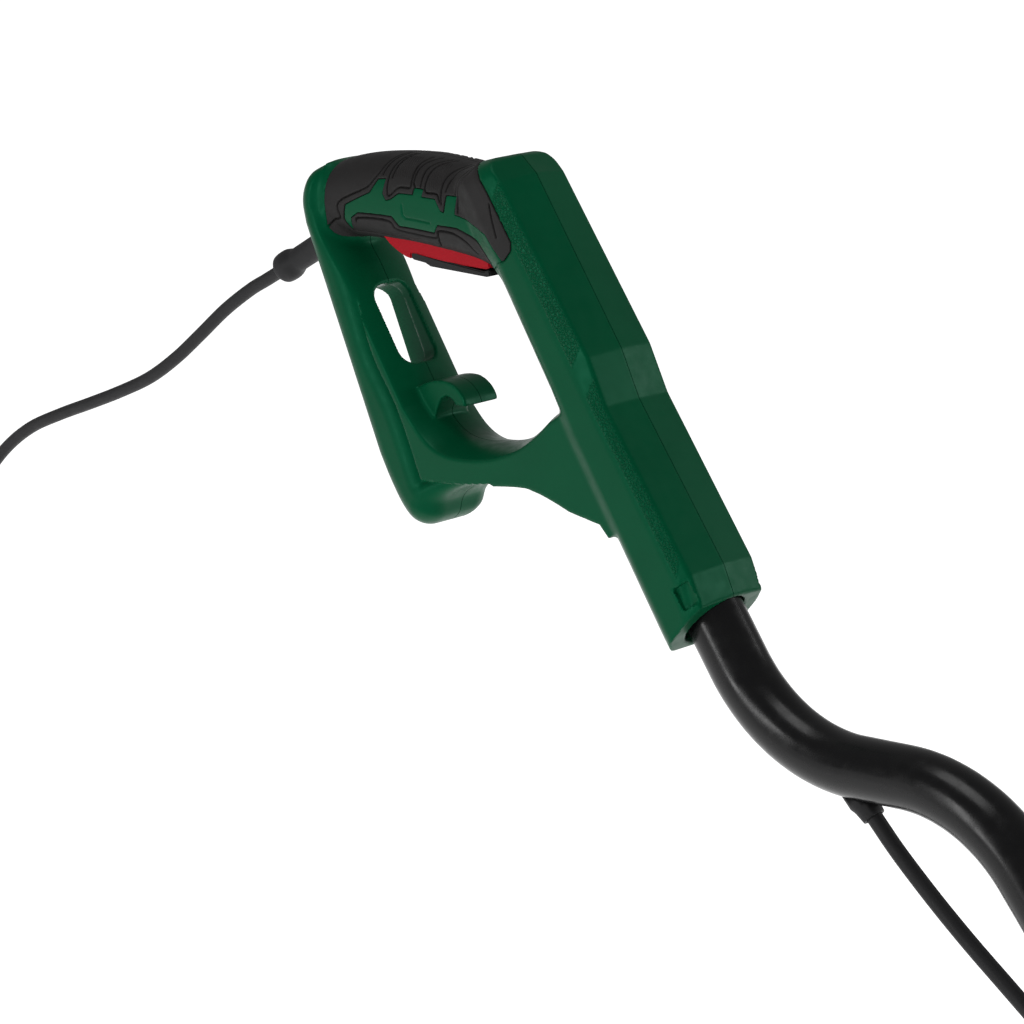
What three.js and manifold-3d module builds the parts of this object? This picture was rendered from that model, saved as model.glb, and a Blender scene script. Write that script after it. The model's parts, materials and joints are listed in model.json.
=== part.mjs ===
// Corded string trimmer: D handle, bent shaft, auxiliary loop handle and tilting motor head.
// Millimetres. +X points forward along the tool, +Z up, +Y to the user's left.
// The origin is the centre of the rear grip, and the tool is symmetric about the XZ plane.
import * as THREE from 'three';
import { mergeVertices } from 'three/addons/utils/BufferGeometryUtils.js';
import Module from 'manifold-3d';

// ---- Driving dimensions ----
const GAP = 0.3;
const WALL = 3;
const SPINE_SLOPE = THREE.MathUtils.degToRad(52.5);
const SPINE_START = new THREE.Vector3(87.7, 0, 21.9);
const SPINE_END = 224;
const TUBE_DEPTH = -25;
const TUBE_RADIUS = 15;
const TUBE_BORE = 13.5;
const BEND_RADIUS = 85;
const TUBE_TOP = 150;
const FIRST_BEND = 250.7;
const LEVEL_RISE = THREE.MathUtils.degToRad(5);
const LEVEL_RUN = 28;
const SHAFT_SLOPE = THREE.MathUtils.degToRad(48);
const SHAFT_START = new THREE.Vector3(393.9, 0, -250.4);
const UPPER_SHAFT_END = 140;
const LOWER_SHAFT_RADIUS = 13;
const LOWER_SHAFT_END = 632;
const COUPLING_SCREW = 122;
const PIVOT_ALONG_SHAFT = 668;
const GRIP_HALF_WIDTH = 20;
const FRAME_HALF_WIDTH = 22.5;
const SPINE_HALF_WIDTH = 25;
const CORD_RADIUS = 3.5;
const CABLE_RADIUS = 4;
const TRIGGER_PIVOT = new THREE.Vector3(-7, 0, -13);
const HOUSING_RADIUS = 46;
const SPOOL_RADIUS = 42;
const CUT_RADIUS = 138;
const GUARD_RADIUS = 150;
const WIRE_RADIUS = 2.5;
const WIRE_PIVOT_HEIGHT = -58;

const wasm = await Module();
wasm.setup();

// ---- Materials ----
const plastic = (color, roughness) => new THREE.MeshStandardMaterial({ color, roughness, metalness: 0 });
const metal = (color, roughness) => new THREE.MeshStandardMaterial({ color, roughness, metalness: 1 });
const GREEN = plastic(0x00482c, 0.45);
const SOFT_BLACK = plastic(0x323032, 0.75);
const RED = plastic(0xac0c20, 0.4);
const BLACK = plastic(0x1c1c1d, 0.5);
const TUBE_PAINT = new THREE.MeshStandardMaterial({ color: 0x141414, roughness: 0.3, metalness: 0.2 });
const RUBBER = plastic(0x262626, 0.6);
const STEEL = metal(0xb8bcc0, 0.35);
const COPPER = metal(0xb06a3a, 0.45);
const BRASS = metal(0xc8a450, 0.35);
const CREAM = plastic(0xd8d2c0, 0.55);
const LINE = plastic(0xd8541c, 0.4);

// ---- Solid helpers ----
function toSolid(geometry) {
  const bare = geometry.clone();
  bare.deleteAttribute('normal');
  bare.deleteAttribute('uv');
  const merged = mergeVertices(bare, 1e-4);
  return new wasm.Manifold(new wasm.Mesh({
    numProp: 3,
    vertProperties: new Float32Array(merged.attributes.position.array),
    triVerts: new Uint32Array(merged.index.array),
  }));
}

// The biggest body of a solid that a cut has left in several pieces.
const largest = (solid) => solid.decompose().sort((a, b) => b.volume() - a.volume())[0];

function toGeometry(solid) {
  const mesh = solid.getMesh();
  const geometry = new THREE.BufferGeometry();
  geometry.setAttribute('position', new THREE.BufferAttribute(mesh.vertProperties, 3));
  geometry.setIndex(new THREE.BufferAttribute(mesh.triVerts, 1));
  geometry.computeVertexNormals();
  return geometry;
}

function addPiece(group, name, shape, material) {
  const geometry = shape.isBufferGeometry ? shape : toGeometry(shape);
  const mesh = new THREE.Mesh(geometry, material);
  mesh.name = name;
  group.add(mesh);
  return mesh;
}

// ---- Shape helpers ----
const vectors = (points) => points.map(([x, y]) => new THREE.Vector2(x, y));
const polygon = (points) => new THREE.Shape(vectors(points));

function disc(radius, boreRadius = 0) {
  const shape = new THREE.Shape();
  shape.absarc(0, 0, radius, 0, Math.PI * 2, false);
  if (boreRadius > 0) {
    const bore = new THREE.Path();
    bore.absarc(0, 0, boreRadius, 0, Math.PI * 2, true);
    shape.holes.push(bore);
  }
  return shape;
}

// An outline in the XZ plane, extruded across the tool from y = low to y = high.
function across(shape, low, high, curveSegments = 12, bevel = null) {
  const thickness = bevel ? bevel.thickness : 0;
  const geometry = new THREE.ExtrudeGeometry(shape, {
    depth: high - low - 2 * thickness,
    curveSegments,
    bevelEnabled: bevel !== null,
    bevelThickness: thickness,
    bevelSize: bevel ? bevel.size : 0,
    bevelOffset: bevel ? -bevel.size : 0,
    bevelSegments: 2,
  });
  geometry.rotateX(Math.PI / 2);
  geometry.translate(0, high - thickness, 0);
  return geometry;
}

// An outline in the XY plane, extruded upwards from z = low to z = high.
function upright(shape, low, high, curveSegments = 12) {
  const geometry = new THREE.ExtrudeGeometry(shape, { depth: high - low, curveSegments, bevelEnabled: false });
  geometry.translate(0, 0, low);
  return geometry;
}

// A profile of [radius, z] points turned about Z. A profile off the axis is closed on itself.
function turned(profile, segments = 20) {
  const points = vectors(profile);
  const first = points[0];
  const last = points[points.length - 1];
  if (first.x > 0 || last.x > 0) points.push(first.clone());
  const geometry = new THREE.LatheGeometry(points, segments);
  geometry.rotateX(Math.PI / 2);
  return geometry;
}

const ring = (inner, outer, low, high, segments = 18) =>
  turned([[inner, low], [outer, low], [outer, high], [inner, high]], segments);

const rod = (radius, low, high, segments = 12) =>
  turned([[0, low], [radius, low], [radius, high], [0, high]], segments);

function box(x0, x1, y0, y1, z0, z1) {
  const geometry = new THREE.BoxGeometry(x1 - x0, y1 - y0, z1 - z0);
  geometry.translate((x0 + x1) / 2, (y0 + y1) / 2, (z0 + z1) / 2);
  return geometry;
}

// Turns a geometry built along +Z so that it starts at a point and runs along a direction.
function aimed(geometry, start, direction) {
  const turn = new THREE.Quaternion().setFromUnitVectors(new THREE.Vector3(0, 0, 1), direction.clone().normalize());
  geometry.applyQuaternion(turn);
  geometry.translate(start.x, start.y, start.z);
  return geometry;
}

const alongY = (geometry, x, y, z) => aimed(geometry, new THREE.Vector3(x, y, z), new THREE.Vector3(0, 1, 0));

// A closed skin through rings of equal point count, ordered counter-clockwise about the direction of travel.
function loft(rings) {
  const count = rings[0].length;
  const positions = rings.flat().flatMap((point) => [point.x, point.y, point.z]);
  const index = [];
  for (let k = 0; k < rings.length - 1; k += 1) {
    for (let i = 0; i < count; i += 1) {
      const a = k * count + i;
      const b = k * count + (i + 1) % count;
      index.push(a, b, b + count, a, b + count, a + count);
    }
  }
  const last = (rings.length - 1) * count;
  for (let i = 1; i < count - 1; i += 1) {
    index.push(0, i + 1, i);
    index.push(last, last + i, last + i + 1);
  }
  const geometry = new THREE.BufferGeometry();
  geometry.setAttribute('position', new THREE.Float32BufferAttribute(positions, 3));
  geometry.setIndex(index);
  return geometry;
}

// A 3-D curve that follows a flat path drawn in the XZ plane.
class PathInXZ extends THREE.Curve {
  constructor(path) {
    super();
    this.path = path;
  }

  getPoint(t) {
    const point = this.path.getPoint(t);
    return new THREE.Vector3(point.x, 0, point.y);
  }
}

function sweep(curve, shape, steps, curveSegments) {
  return new THREE.ExtrudeGeometry(shape, { steps, curveSegments, extrudePath: curve });
}

function splineInXZ(points) {
  return new THREE.CatmullRomCurve3(points.map(([x, z]) => new THREE.Vector3(x, 0, z)), false, 'centripetal');
}

// ---- Frames ----
const tool = new THREE.Group();
const shaft = new THREE.Group();
shaft.position.copy(SHAFT_START);
shaft.rotation.y = SHAFT_SLOPE;
const shaftDirection = new THREE.Vector3(Math.cos(SHAFT_SLOPE), 0, -Math.sin(SHAFT_SLOPE));
const shaftNormal = new THREE.Vector3(Math.sin(SHAFT_SLOPE), 0, Math.cos(SHAFT_SLOPE));
const head = new THREE.Group();
head.position.copy(SHAFT_START).addScaledVector(shaftDirection, PIVOT_ALONG_SHAFT);
tool.add(shaft, head);

const spineDirection = new THREE.Vector3(Math.cos(SPINE_SLOPE), 0, -Math.sin(SPINE_SLOPE));
const spineNormal = new THREE.Vector3(Math.sin(SPINE_SLOPE), 0, Math.cos(SPINE_SLOPE));
const onSpine = (s, y, n) =>
  SPINE_START.clone().addScaledVector(spineDirection, s).addScaledVector(spineNormal, n).setY(y);
const onShaft = (t, n) => SHAFT_START.clone().addScaledVector(shaftDirection, t).addScaledVector(shaftNormal, n);

// ---- Handle: outer forms ----
// Each spine station: distance along the spine, then the heights of ridge, front edge, side edge and back.
const SPINE_STATIONS = [
  [-22.5, -13, -14, -18, -33],
  [-15.5, -2.5, -6, -13, -34],
  [-4, 0, -3.6, -12, -34.5],
  [92, -1.5, -3.4, -13.6, -39.5],
  [117, -5.8, -7.5, -14.5, -42],
  [206, -4.8, -7, -14, -45],
  [SPINE_END, -9.6, -12, -20, -45.5],
];

function spineForm(inset, from = -Infinity, to = Infinity) {
  const rings = SPINE_STATIONS.filter(([s]) => s >= from && s <= to).map(([s, ridge, front, side, back]) => {
    const half = SPINE_HALF_WIDTH - inset;
    const section = [
      [0, ridge - inset], [-22 + inset, front - inset], [-half, side - inset / 2], [-half, back + 9],
      [-17, back + inset], [17, back + inset], [half, back + 9], [half, side - inset / 2],
      [22 - inset, front - inset],
    ];
    return section.map(([y, n]) => onSpine(s, y, n));
  });
  return toSolid(loft(rings));
}

// Each grip station: distance forward, then the heights of its top and its underside.
const GRIP_STATIONS = [
  [-52, 12.5, -21], [-36, 18.3, -21.5], [-12, 22.8, -20.5], [14, 25.2, -20], [40, 24.8, -20.5], [60, 23, -22],
  [80, 18, -27],
];

function gripForm(inset, exponent = 2.6, count = 16) {
  const rings = GRIP_STATIONS.map(([x, top, underside]) => {
    const middle = (top + underside) / 2;
    const halfHeight = (top - underside) / 2 - inset;
    const halfWidth = GRIP_HALF_WIDTH - inset;
    const section = [];
    for (let i = 0; i < count; i += 1) {
      const angle = (i / count) * Math.PI * 2;
      const across = Math.sign(Math.cos(angle)) * Math.abs(Math.cos(angle)) ** (2 / exponent);
      const up = Math.sign(Math.sin(angle)) * Math.abs(Math.sin(angle)) ** (2 / exponent);
      section.push(new THREE.Vector3(x, across * halfWidth, middle + up * halfHeight));
    }
    return section;
  });
  return toSolid(loft(rings));
}

// The lower frame of the D: rear rail, bottom lobe and the bar that joins the spine.
function frameForm() {
  const outline = new THREE.Shape();
  outline.moveTo(-48.5, 14);
  outline.splineThru(vectors([[-57, 9.5], [-62, 2], [-63.5, -7], [-61, -18]]));
  outline.lineTo(-7, -129.5);
  outline.splineThru(vectors([[0, -143], [8, -155], [16, -161.5], [24, -161.5], [31, -156], [34, -147], [42, -140],
    [56, -135], [72, -132]]));
  outline.lineTo(112, -132);
  outline.lineTo(146, -142);
  outline.lineTo(165, -130);
  outline.lineTo(130, -85);
  outline.lineTo(112, -86);
  outline.splineThru(vectors([[102, -95.5], [90, -104], [74, -110.5], [56, -114], [42, -114], [31, -109.5],
    [18, -97.5]]));
  outline.lineTo(-26, -35);
  outline.lineTo(-40, -18);
  outline.lineTo(-48.5, -12);
  return toSolid(across(outline, -FRAME_HALF_WIDTH, FRAME_HALF_WIDTH, 1, { thickness: 8, size: 5 }));
}

// The hollow inside the rear rail, with solid walls left round the cable slot.
function frameHollow() {
  const outline = polygon([
    [-55, -14], [-46, -17], [-38, -26], [-24, -47], [4, -88], [22, -108], [34, -118], [30, -146], [18, -156],
    [8, -149], [-2, -131], [-30, -72],
  ]);
  return toSolid(across(outline, -17.5, 17.5)).subtract(slotForm(WALL));
}

const SLOT = { x: -8, z: -62, halfLength: 20.5, halfWidth: 10.2, tilt: THREE.MathUtils.degToRad(-61), front: 15 };

function slotForm(grow) {
  const half = SLOT.halfWidth + grow;
  const straight = SLOT.halfLength - SLOT.halfWidth;
  const outline = new THREE.Shape();
  outline.absarc(straight, 0, half, -Math.PI / 2, Math.PI / 2, false);
  outline.absarc(-straight, 0, half, Math.PI / 2, Math.PI * 1.5, false);
  const throat = upright(outline, -50, SLOT.front, 6);
  const pocket = box(-straight - 14 - grow, straight + 14 + grow, -14 - grow, 14 + grow, -50, -16 + grow);
  const solid = toSolid(throat).add(toSolid(pocket));
  const geometry = toGeometry(solid);
  geometry.rotateY(-SLOT.tilt);
  geometry.translate(SLOT.x, 0, SLOT.z);
  return toSolid(geometry);
}

function hookForm() {
  const outline = new THREE.Shape();
  outline.moveTo(6, -96);
  outline.splineThru(vectors([[17, -90.5], [28, -86.5], [38, -87.5], [45.2, -93]]));
  outline.lineTo(36, -99.5);
  outline.splineThru(vectors([[31, -99], [28, -102.5], [26.5, -107]]));
  outline.lineTo(14, -109);
  return toSolid(across(outline, -11.5, 11.5, 3));
}

const CORD_EXIT = new THREE.Vector3(-101, 0, -51);
const CORD_EXIT_DIRECTION = new THREE.Vector3(-0.861, 0, -0.509).normalize();

function triggerWindow() {
  return toSolid(box(-13, 67, -12.6, 12.6, -45, -8));
}

// The whole housing before it is split: a hollow D with the tube socket, slot, hook and grip recess.
function handleBody() {
  const socketLength = SPINE_END - TUBE_TOP + 20;
  const socket = aimed(rod(TUBE_RADIUS + GAP, 0, socketLength, 32), onSpine(TUBE_TOP - 2, 0, TUBE_DEPTH), spineDirection);
  const cordHole = aimed(rod(7.8, -24, 60, 20), CORD_EXIT, CORD_EXIT_DIRECTION.clone().negate());
  const springSeat = toSolid(box(49, 59, -18, 18, -1.8, 2));
  const recess = gripForm(-1).intersect(gripRegion(GAP)).subtract(gripForm(2 + GAP));
  return spineForm(0).add(frameForm()).add(gripForm(0)).add(hookForm())
    .subtract(recess)
    .subtract(gripForm(5.5).subtract(toSolid(box(-60, -46, -30, 30, -30, 30))).subtract(springSeat))
    .subtract(spineForm(WALL, -14, 117))
    .subtract(frameHollow())
    .subtract(slotForm(0))
    .subtract(toSolid(socket))
    .subtract(toSolid(aimed(rod(13, 0, 60, 20), onSpine(TUBE_TOP - 50, 0, TUBE_DEPTH), spineDirection)))
    .subtract(toSolid(cordHole))
    .subtract(toSolid(aimed(rod(CORD_RADIUS + 0.8, 50, 90, 12), CORD_EXIT, CORD_EXIT_DIRECTION.clone().negate())))
    .subtract(toSolid(alongY(rod(2 + GAP, -14.4, 14.4, 12), TRIGGER_PIVOT.x, 0, TRIGGER_PIVOT.z)))
    .subtract(triggerWindow());
}

// The zone of the grip that the soft overmould covers.
function gripRegion(grow) {
  const outline = polygon([
    [-47.5 - grow, 40], [-47.5 - grow, -8 - grow], [66 + grow, -8 - grow], [45.5 + grow, 18.6], [45.5 + grow, 40],
  ]);
  return toSolid(across(outline, -40, 40));
}

const SIDES = [['right', -1], ['left', 1]];

function halfSpace(side, gap) {
  return toSolid(box(-200, 400, side > 0 ? gap : -200, side > 0 ? 200 : -gap, -400, 200));
}

// ---- Handle: screws that hold the two halves ----
const HOUSING_SCREWS = [
  onSpine(60, 0, -12), onSpine(136, 0, -13), onSpine(128, 0, -40), new THREE.Vector3(40, 0, -124),
  new THREE.Vector3(-54, 0, -4),
];
const SCREW_FACE = [SPINE_HALF_WIDTH, SPINE_HALF_WIDTH, SPINE_HALF_WIDTH, FRAME_HALF_WIDTH, FRAME_HALF_WIDTH];

function screwForm(grow) {
  return turned([[0, -14], [1.9 + grow, -14], [1.9 + grow, 8], [3.8 + grow, 8], [3.8 + grow, 11 + grow * 40],
    [0, 11 + grow * 40]], 8);
}

function screwBoss(place, face) {
  const post = alongY(rod(5.5, -face + 2, face - 2, 8), place.x, 0, place.z);
  return toSolid(post);
}

function buildHousing() {
  let body = handleBody();
  HOUSING_SCREWS.forEach((place, i) => {
    const face = SCREW_FACE[i];
    body = body.add(screwBoss(place, face));
    body = body.subtract(toSolid(alongY(screwForm(GAP), place.x, face - 15, place.z)));
    addPiece(tool, `housing_screw_${i + 1}`, alongY(screwForm(0), place.x, face - 15, place.z), STEEL);
  });
  for (const [name, side] of SIDES) {
    const half = body.intersect(halfSpace(side, GAP / 2));
    addPiece(tool, `housing_${name}`, largest(half), GREEN);
  }
}

function buildSoftGrip() {
  const skin = gripForm(0).intersect(gripRegion(0)).subtract(gripForm(2));
  for (const [name, side] of SIDES) {
    const half = skin.intersect(halfSpace(side, GAP / 2));
    addPiece(tool, `soft_grip_${name}`, largest(half), SOFT_BLACK);
  }
}

// ---- Handle: trigger and switch ----
function buildTrigger() {
  const lever = polygon([
    [-11.5, -19], [-11.5, -10], [-3, -9], [30, -11.5], [63, -12.5], [65, -15], [65, -23], [10, -25.5], [-2, -24.5],
  ]);
  const pinHole = alongY(rod(2 + GAP, -20, 20, 16), TRIGGER_PIVOT.x, 0, TRIGGER_PIVOT.z);
  addPiece(tool, 'trigger', toSolid(across(lever, -12, 12)).subtract(toSolid(pinHole)), RED);
  const pad = polygon([[8.5, -25.9], [65, -23.4], [65, -28], [24, -28.4], [19, -27.2]]);
  addPiece(tool, 'trigger_pad', across(pad, -12.2, 12.2), SOFT_BLACK);
  addPiece(tool, 'trigger_pin', alongY(rod(2, -14, 14, 16), TRIGGER_PIVOT.x, 0, TRIGGER_PIVOT.z), STEEL);
  const coil = new THREE.Shape();
  coil.absarc(0, 0, 0.45, 0, Math.PI * 2, false);
  const turns = 3.5;
  const points = [];
  for (let i = 0; i <= 28; i += 1) {
    const angle = (i / 28) * turns * Math.PI * 2;
    points.push(new THREE.Vector3(54 + 3 * Math.cos(angle), 3 * Math.sin(angle), -11.6 + (i / 28) * 8.6));
  }
  addPiece(tool, 'trigger_spring', sweep(new THREE.CatmullRomCurve3(points), coil, 30, 3), STEEL);
}

function buildSwitch() {
  const body = toSolid(box(22, 48, -7, 7, -6, 9)).subtract(toSolid(rod(2.6, -8, 1, 16).translate(30, 0, 0)));
  addPiece(tool, 'microswitch', body, BLACK);
  addPiece(tool, 'switch_plunger', turned([[0, -11.1], [2, -11.1], [2.3, -10.3], [2.3, -3.8], [0, -3.8]], 16)
    .translate(30, 0, 0), RED);
  addPiece(tool, 'capacitor', aimed(rod(7.5, 0, 26, 16), onSpine(74, -11, -23), spineDirection), CREAM);
}

// ---- Mains cord ----
const CORD_ROUTE = [
  [-30, -9], [-43, -16.7], [-60, -26.8], [-80, -38.6], [-101, -51], [-114, -58.4], [-127.5, -66], [-148, -80],
  [-169, -97], [-190, -113.5], [-213, -128.5], [-239, -141], [-266, -152.5], [-294, -164], [-322, -177],
  [-346, -193.5], [-366, -213.5], [-379, -235], [-386, -256], [-389.05, -277], [-391.6, -302.5],
];
const PLUG_TOP = new THREE.Vector3(-391.65, 0, -302.9);
const PLUG_DIRECTION = new THREE.Vector3(-0.1, 0, -1).normalize();

function buildMainsCord() {
  const route = splineInXZ(CORD_ROUTE);
  addPiece(tool, 'mains_cord', sweep(route, disc(CORD_RADIUS), 40, 4), RUBBER);
  const sleeve = turned([
    [CORD_RADIUS + GAP, 0], [6.4, 0], [8, 2], [8.2, 9], [7.2, 13], [6.3, 16], [6.6, 46], [7.4, 49], [7.4, 56],
    [CORD_RADIUS + GAP, 56],
  ], 20);
  addPiece(tool, 'cord_sleeve', aimed(sleeve, CORD_EXIT, CORD_EXIT_DIRECTION.clone().negate()), RUBBER);
  addPiece(tool, 'cord_clamp', box(-44, -37, -11, 11, -8.4, -5), BLACK);
  buildPlug();
}

function buildPlug() {
  const plug = new THREE.Group();
  plug.position.copy(PLUG_TOP);
  plug.quaternion.setFromUnitVectors(new THREE.Vector3(0, 0, 1), PLUG_DIRECTION);
  const outline = new THREE.Shape();
  outline.absarc(0, 7, 9.5, 0, Math.PI, false);
  outline.absarc(0, -7, 9.5, Math.PI, Math.PI * 2, false);
  const collar = turned([[CORD_RADIUS + GAP, -26], [5.2, -26], [7, -12], [9, 1], [CORD_RADIUS + GAP, 1]], 16);
  let body = toSolid(upright(outline, 0, 30, 10)).add(toSolid(collar));
  for (const y of [-9.5, 9.5]) {
    body = body.add(toSolid(turned([[0, 29], [2.4, 29], [2.4, 47], [1.4, 49], [0, 49]], 12).translate(0, y, 0)));
  }
  addPiece(plug, 'mains_plug', body, RUBBER);
  tool.add(plug);
}

// ---- Bent shaft and motor cable ----
function tubePath() {
  const top = onSpine(TUBE_TOP, 0, TUBE_DEPTH);
  const bendStart = onSpine(FIRST_BEND, 0, TUBE_DEPTH);
  const firstCentre = bendStart.clone().addScaledVector(spineNormal, BEND_RADIUS);
  const path = new THREE.Path();
  path.moveTo(top.x, top.z);
  path.lineTo(bendStart.x, bendStart.z);
  path.absarc(firstCentre.x, firstCentre.z, BEND_RADIUS, -Math.PI / 2 - SPINE_SLOPE, -Math.PI / 2 + LEVEL_RISE, false);
  const levelStart = path.getPoint(1);
  const level = new THREE.Vector2(Math.cos(LEVEL_RISE), Math.sin(LEVEL_RISE));
  const levelEnd = levelStart.clone().addScaledVector(level, LEVEL_RUN);
  path.lineTo(levelEnd.x, levelEnd.y);
  const secondCentre = levelEnd.clone().addScaledVector(new THREE.Vector2(level.y, -level.x), BEND_RADIUS);
  path.absarc(secondCentre.x, secondCentre.y, BEND_RADIUS, Math.PI / 2 + LEVEL_RISE, Math.PI / 2 - SHAFT_SLOPE, true);
  const end = onShaft(UPPER_SHAFT_END, 0);
  path.lineTo(end.x, end.z);
  return new PathInXZ(path);
}

const CABLE_EXIT = new THREE.Vector3(297, 0, -239.4);
const CABLE_EXIT_DIRECTION = new THREE.Vector3(0.731, 0, -0.682).normalize();
// The cable's route off the tube, as [distance along the lower shaft, height above its axis].
const CABLE_ON_SHAFT = [
  [-41, -61.5], [-15, -57], [10, -51.5], [35, -45], [60, -38.5], [85, -32.5], [112, -28.6], [145, -28],
  [180, -27], [205, -22], [230, -18.4], [270, -18.2], [330, -18.2], [400, -18.2], [470, -18.2], [540, -18.2],
  [570, -18.4], [590, -19],
];

function cableRoute() {
  const inTube = [[152, -103], [160, -113.5], [185, -146], [208, -175.5], [222, -191], [237, -203.5], [250, -210.5],
    [263, -215.2], [275, -220.8], [286, -229.4], [297, -239.4], [308, -249.6]];
  const onTool = CABLE_ON_SHAFT.map(([t, n]) => onShaft(t, n)).map((point) => [point.x, point.z]);
  return splineInXZ([...inTube, ...onTool]);
}

function buildShaft() {
  const drilled = toSolid(aimed(rod(CABLE_RADIUS + 1, -24, 14, 20), CABLE_EXIT, CABLE_EXIT_DIRECTION));
  const tube = toSolid(sweep(tubePath(), disc(TUBE_RADIUS, TUBE_BORE), 26, 7));
  addPiece(tool, 'upper_shaft', tube.subtract(drilled), TUBE_PAINT);
  const outside = toSolid(sweep(tubePath(), disc(TUBE_RADIUS + GAP), 26, 7));
  const boot = turned([
    [CABLE_RADIUS + GAP, -20], [7.4, -20], [7.4, 2], [6.4, 5], [5.6, 11], [CABLE_RADIUS + GAP, 11],
  ], 20);
  const grommet = toSolid(aimed(boot, CABLE_EXIT, CABLE_EXIT_DIRECTION)).subtract(outside);
  addPiece(tool, 'cable_grommet', largest(grommet), RUBBER);
  addPiece(tool, 'motor_cable', sweep(cableRoute(), disc(CABLE_RADIUS), 62, 4), RUBBER);
}

function buildLowerShaft() {
  const tube = sweep(new THREE.LineCurve3(new THREE.Vector3(UPPER_SHAFT_END + GAP, 0, 0),
    new THREE.Vector3(LOWER_SHAFT_END, 0, 0)), disc(LOWER_SHAFT_RADIUS, LOWER_SHAFT_RADIUS - 1.4), 1, 10);
  addPiece(shaft, 'lower_shaft', tube, TUBE_PAINT);
  const sleeve = turned([
    [TUBE_RADIUS + GAP, 104], [19, 104], [22, 110], [22, 172], [18.5, 186], [LOWER_SHAFT_RADIUS + GAP, 186],
    [LOWER_SHAFT_RADIUS + GAP, UPPER_SHAFT_END + 1], [TUBE_RADIUS + GAP, UPPER_SHAFT_END + 1],
  ], 28);
  sleeve.rotateY(Math.PI / 2);
  let coupling = toSolid(sleeve);
  const screw = turned([[0, 17.2], [2, 17.2], [2, 20], [4, 20], [4, 25], [0, 25]], 16);
  const hole = rod(2 + GAP, 10, 30, 16);
  const seat = rod(4 + GAP, 20 - GAP, 30, 16);
  for (const cut of [hole, seat]) {
    coupling = coupling.subtract(toSolid(cut.translate(COUPLING_SCREW, 0, 0)));
  }
  addPiece(shaft, 'coupling_screw_1', screw.translate(COUPLING_SCREW, 0, 0), STEEL);
  addPiece(shaft, 'shaft_coupling', coupling, BLACK);
}

const CLIP_PLACES = [250, 480];

function buildClips() {
  const outline = new THREE.Shape();
  outline.absarc(0, 0, 16, -Math.PI * 0.3, Math.PI * 1.3, false);
  outline.absarc(0, -18.2, 6.4, Math.PI, Math.PI * 2, false);
  const shaftHole = new THREE.Path();
  shaftHole.absarc(0, 0, LOWER_SHAFT_RADIUS + GAP, 0, Math.PI * 2, true);
  const cableHole = new THREE.Path();
  cableHole.absarc(0, -18.2, CABLE_RADIUS + 0.35, 0, Math.PI * 2, true);
  outline.holes.push(shaftHole, cableHole);
  CLIP_PLACES.forEach((t, i) => {
    const clip = upright(outline, -5, 5, 10);
    clip.rotateX(Math.PI / 2);
    clip.rotateZ(Math.PI / 2);
    clip.translate(t, 0, 0);
    addPiece(shaft, `cable_clip_${i + 1}`, clip, BLACK);
  });
}

// ---- Auxiliary handle ----
const LOOP_PLACE = 70;
const LOOP_BOLT_HEIGHT = 34;

function loopCurve() {
  const right = [[-20, 34], [-33, 50], [-58, 70], [-70, 92], [-66, 116], [-44, 130], [-15, 133]];
  const left = right.map(([y, n]) => [-y, n]).reverse();
  const points = [...right, ...left].map(([y, n]) => new THREE.Vector3(LOOP_PLACE, y, n));
  return new THREE.CatmullRomCurve3(points, false, 'centripetal');
}

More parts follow.
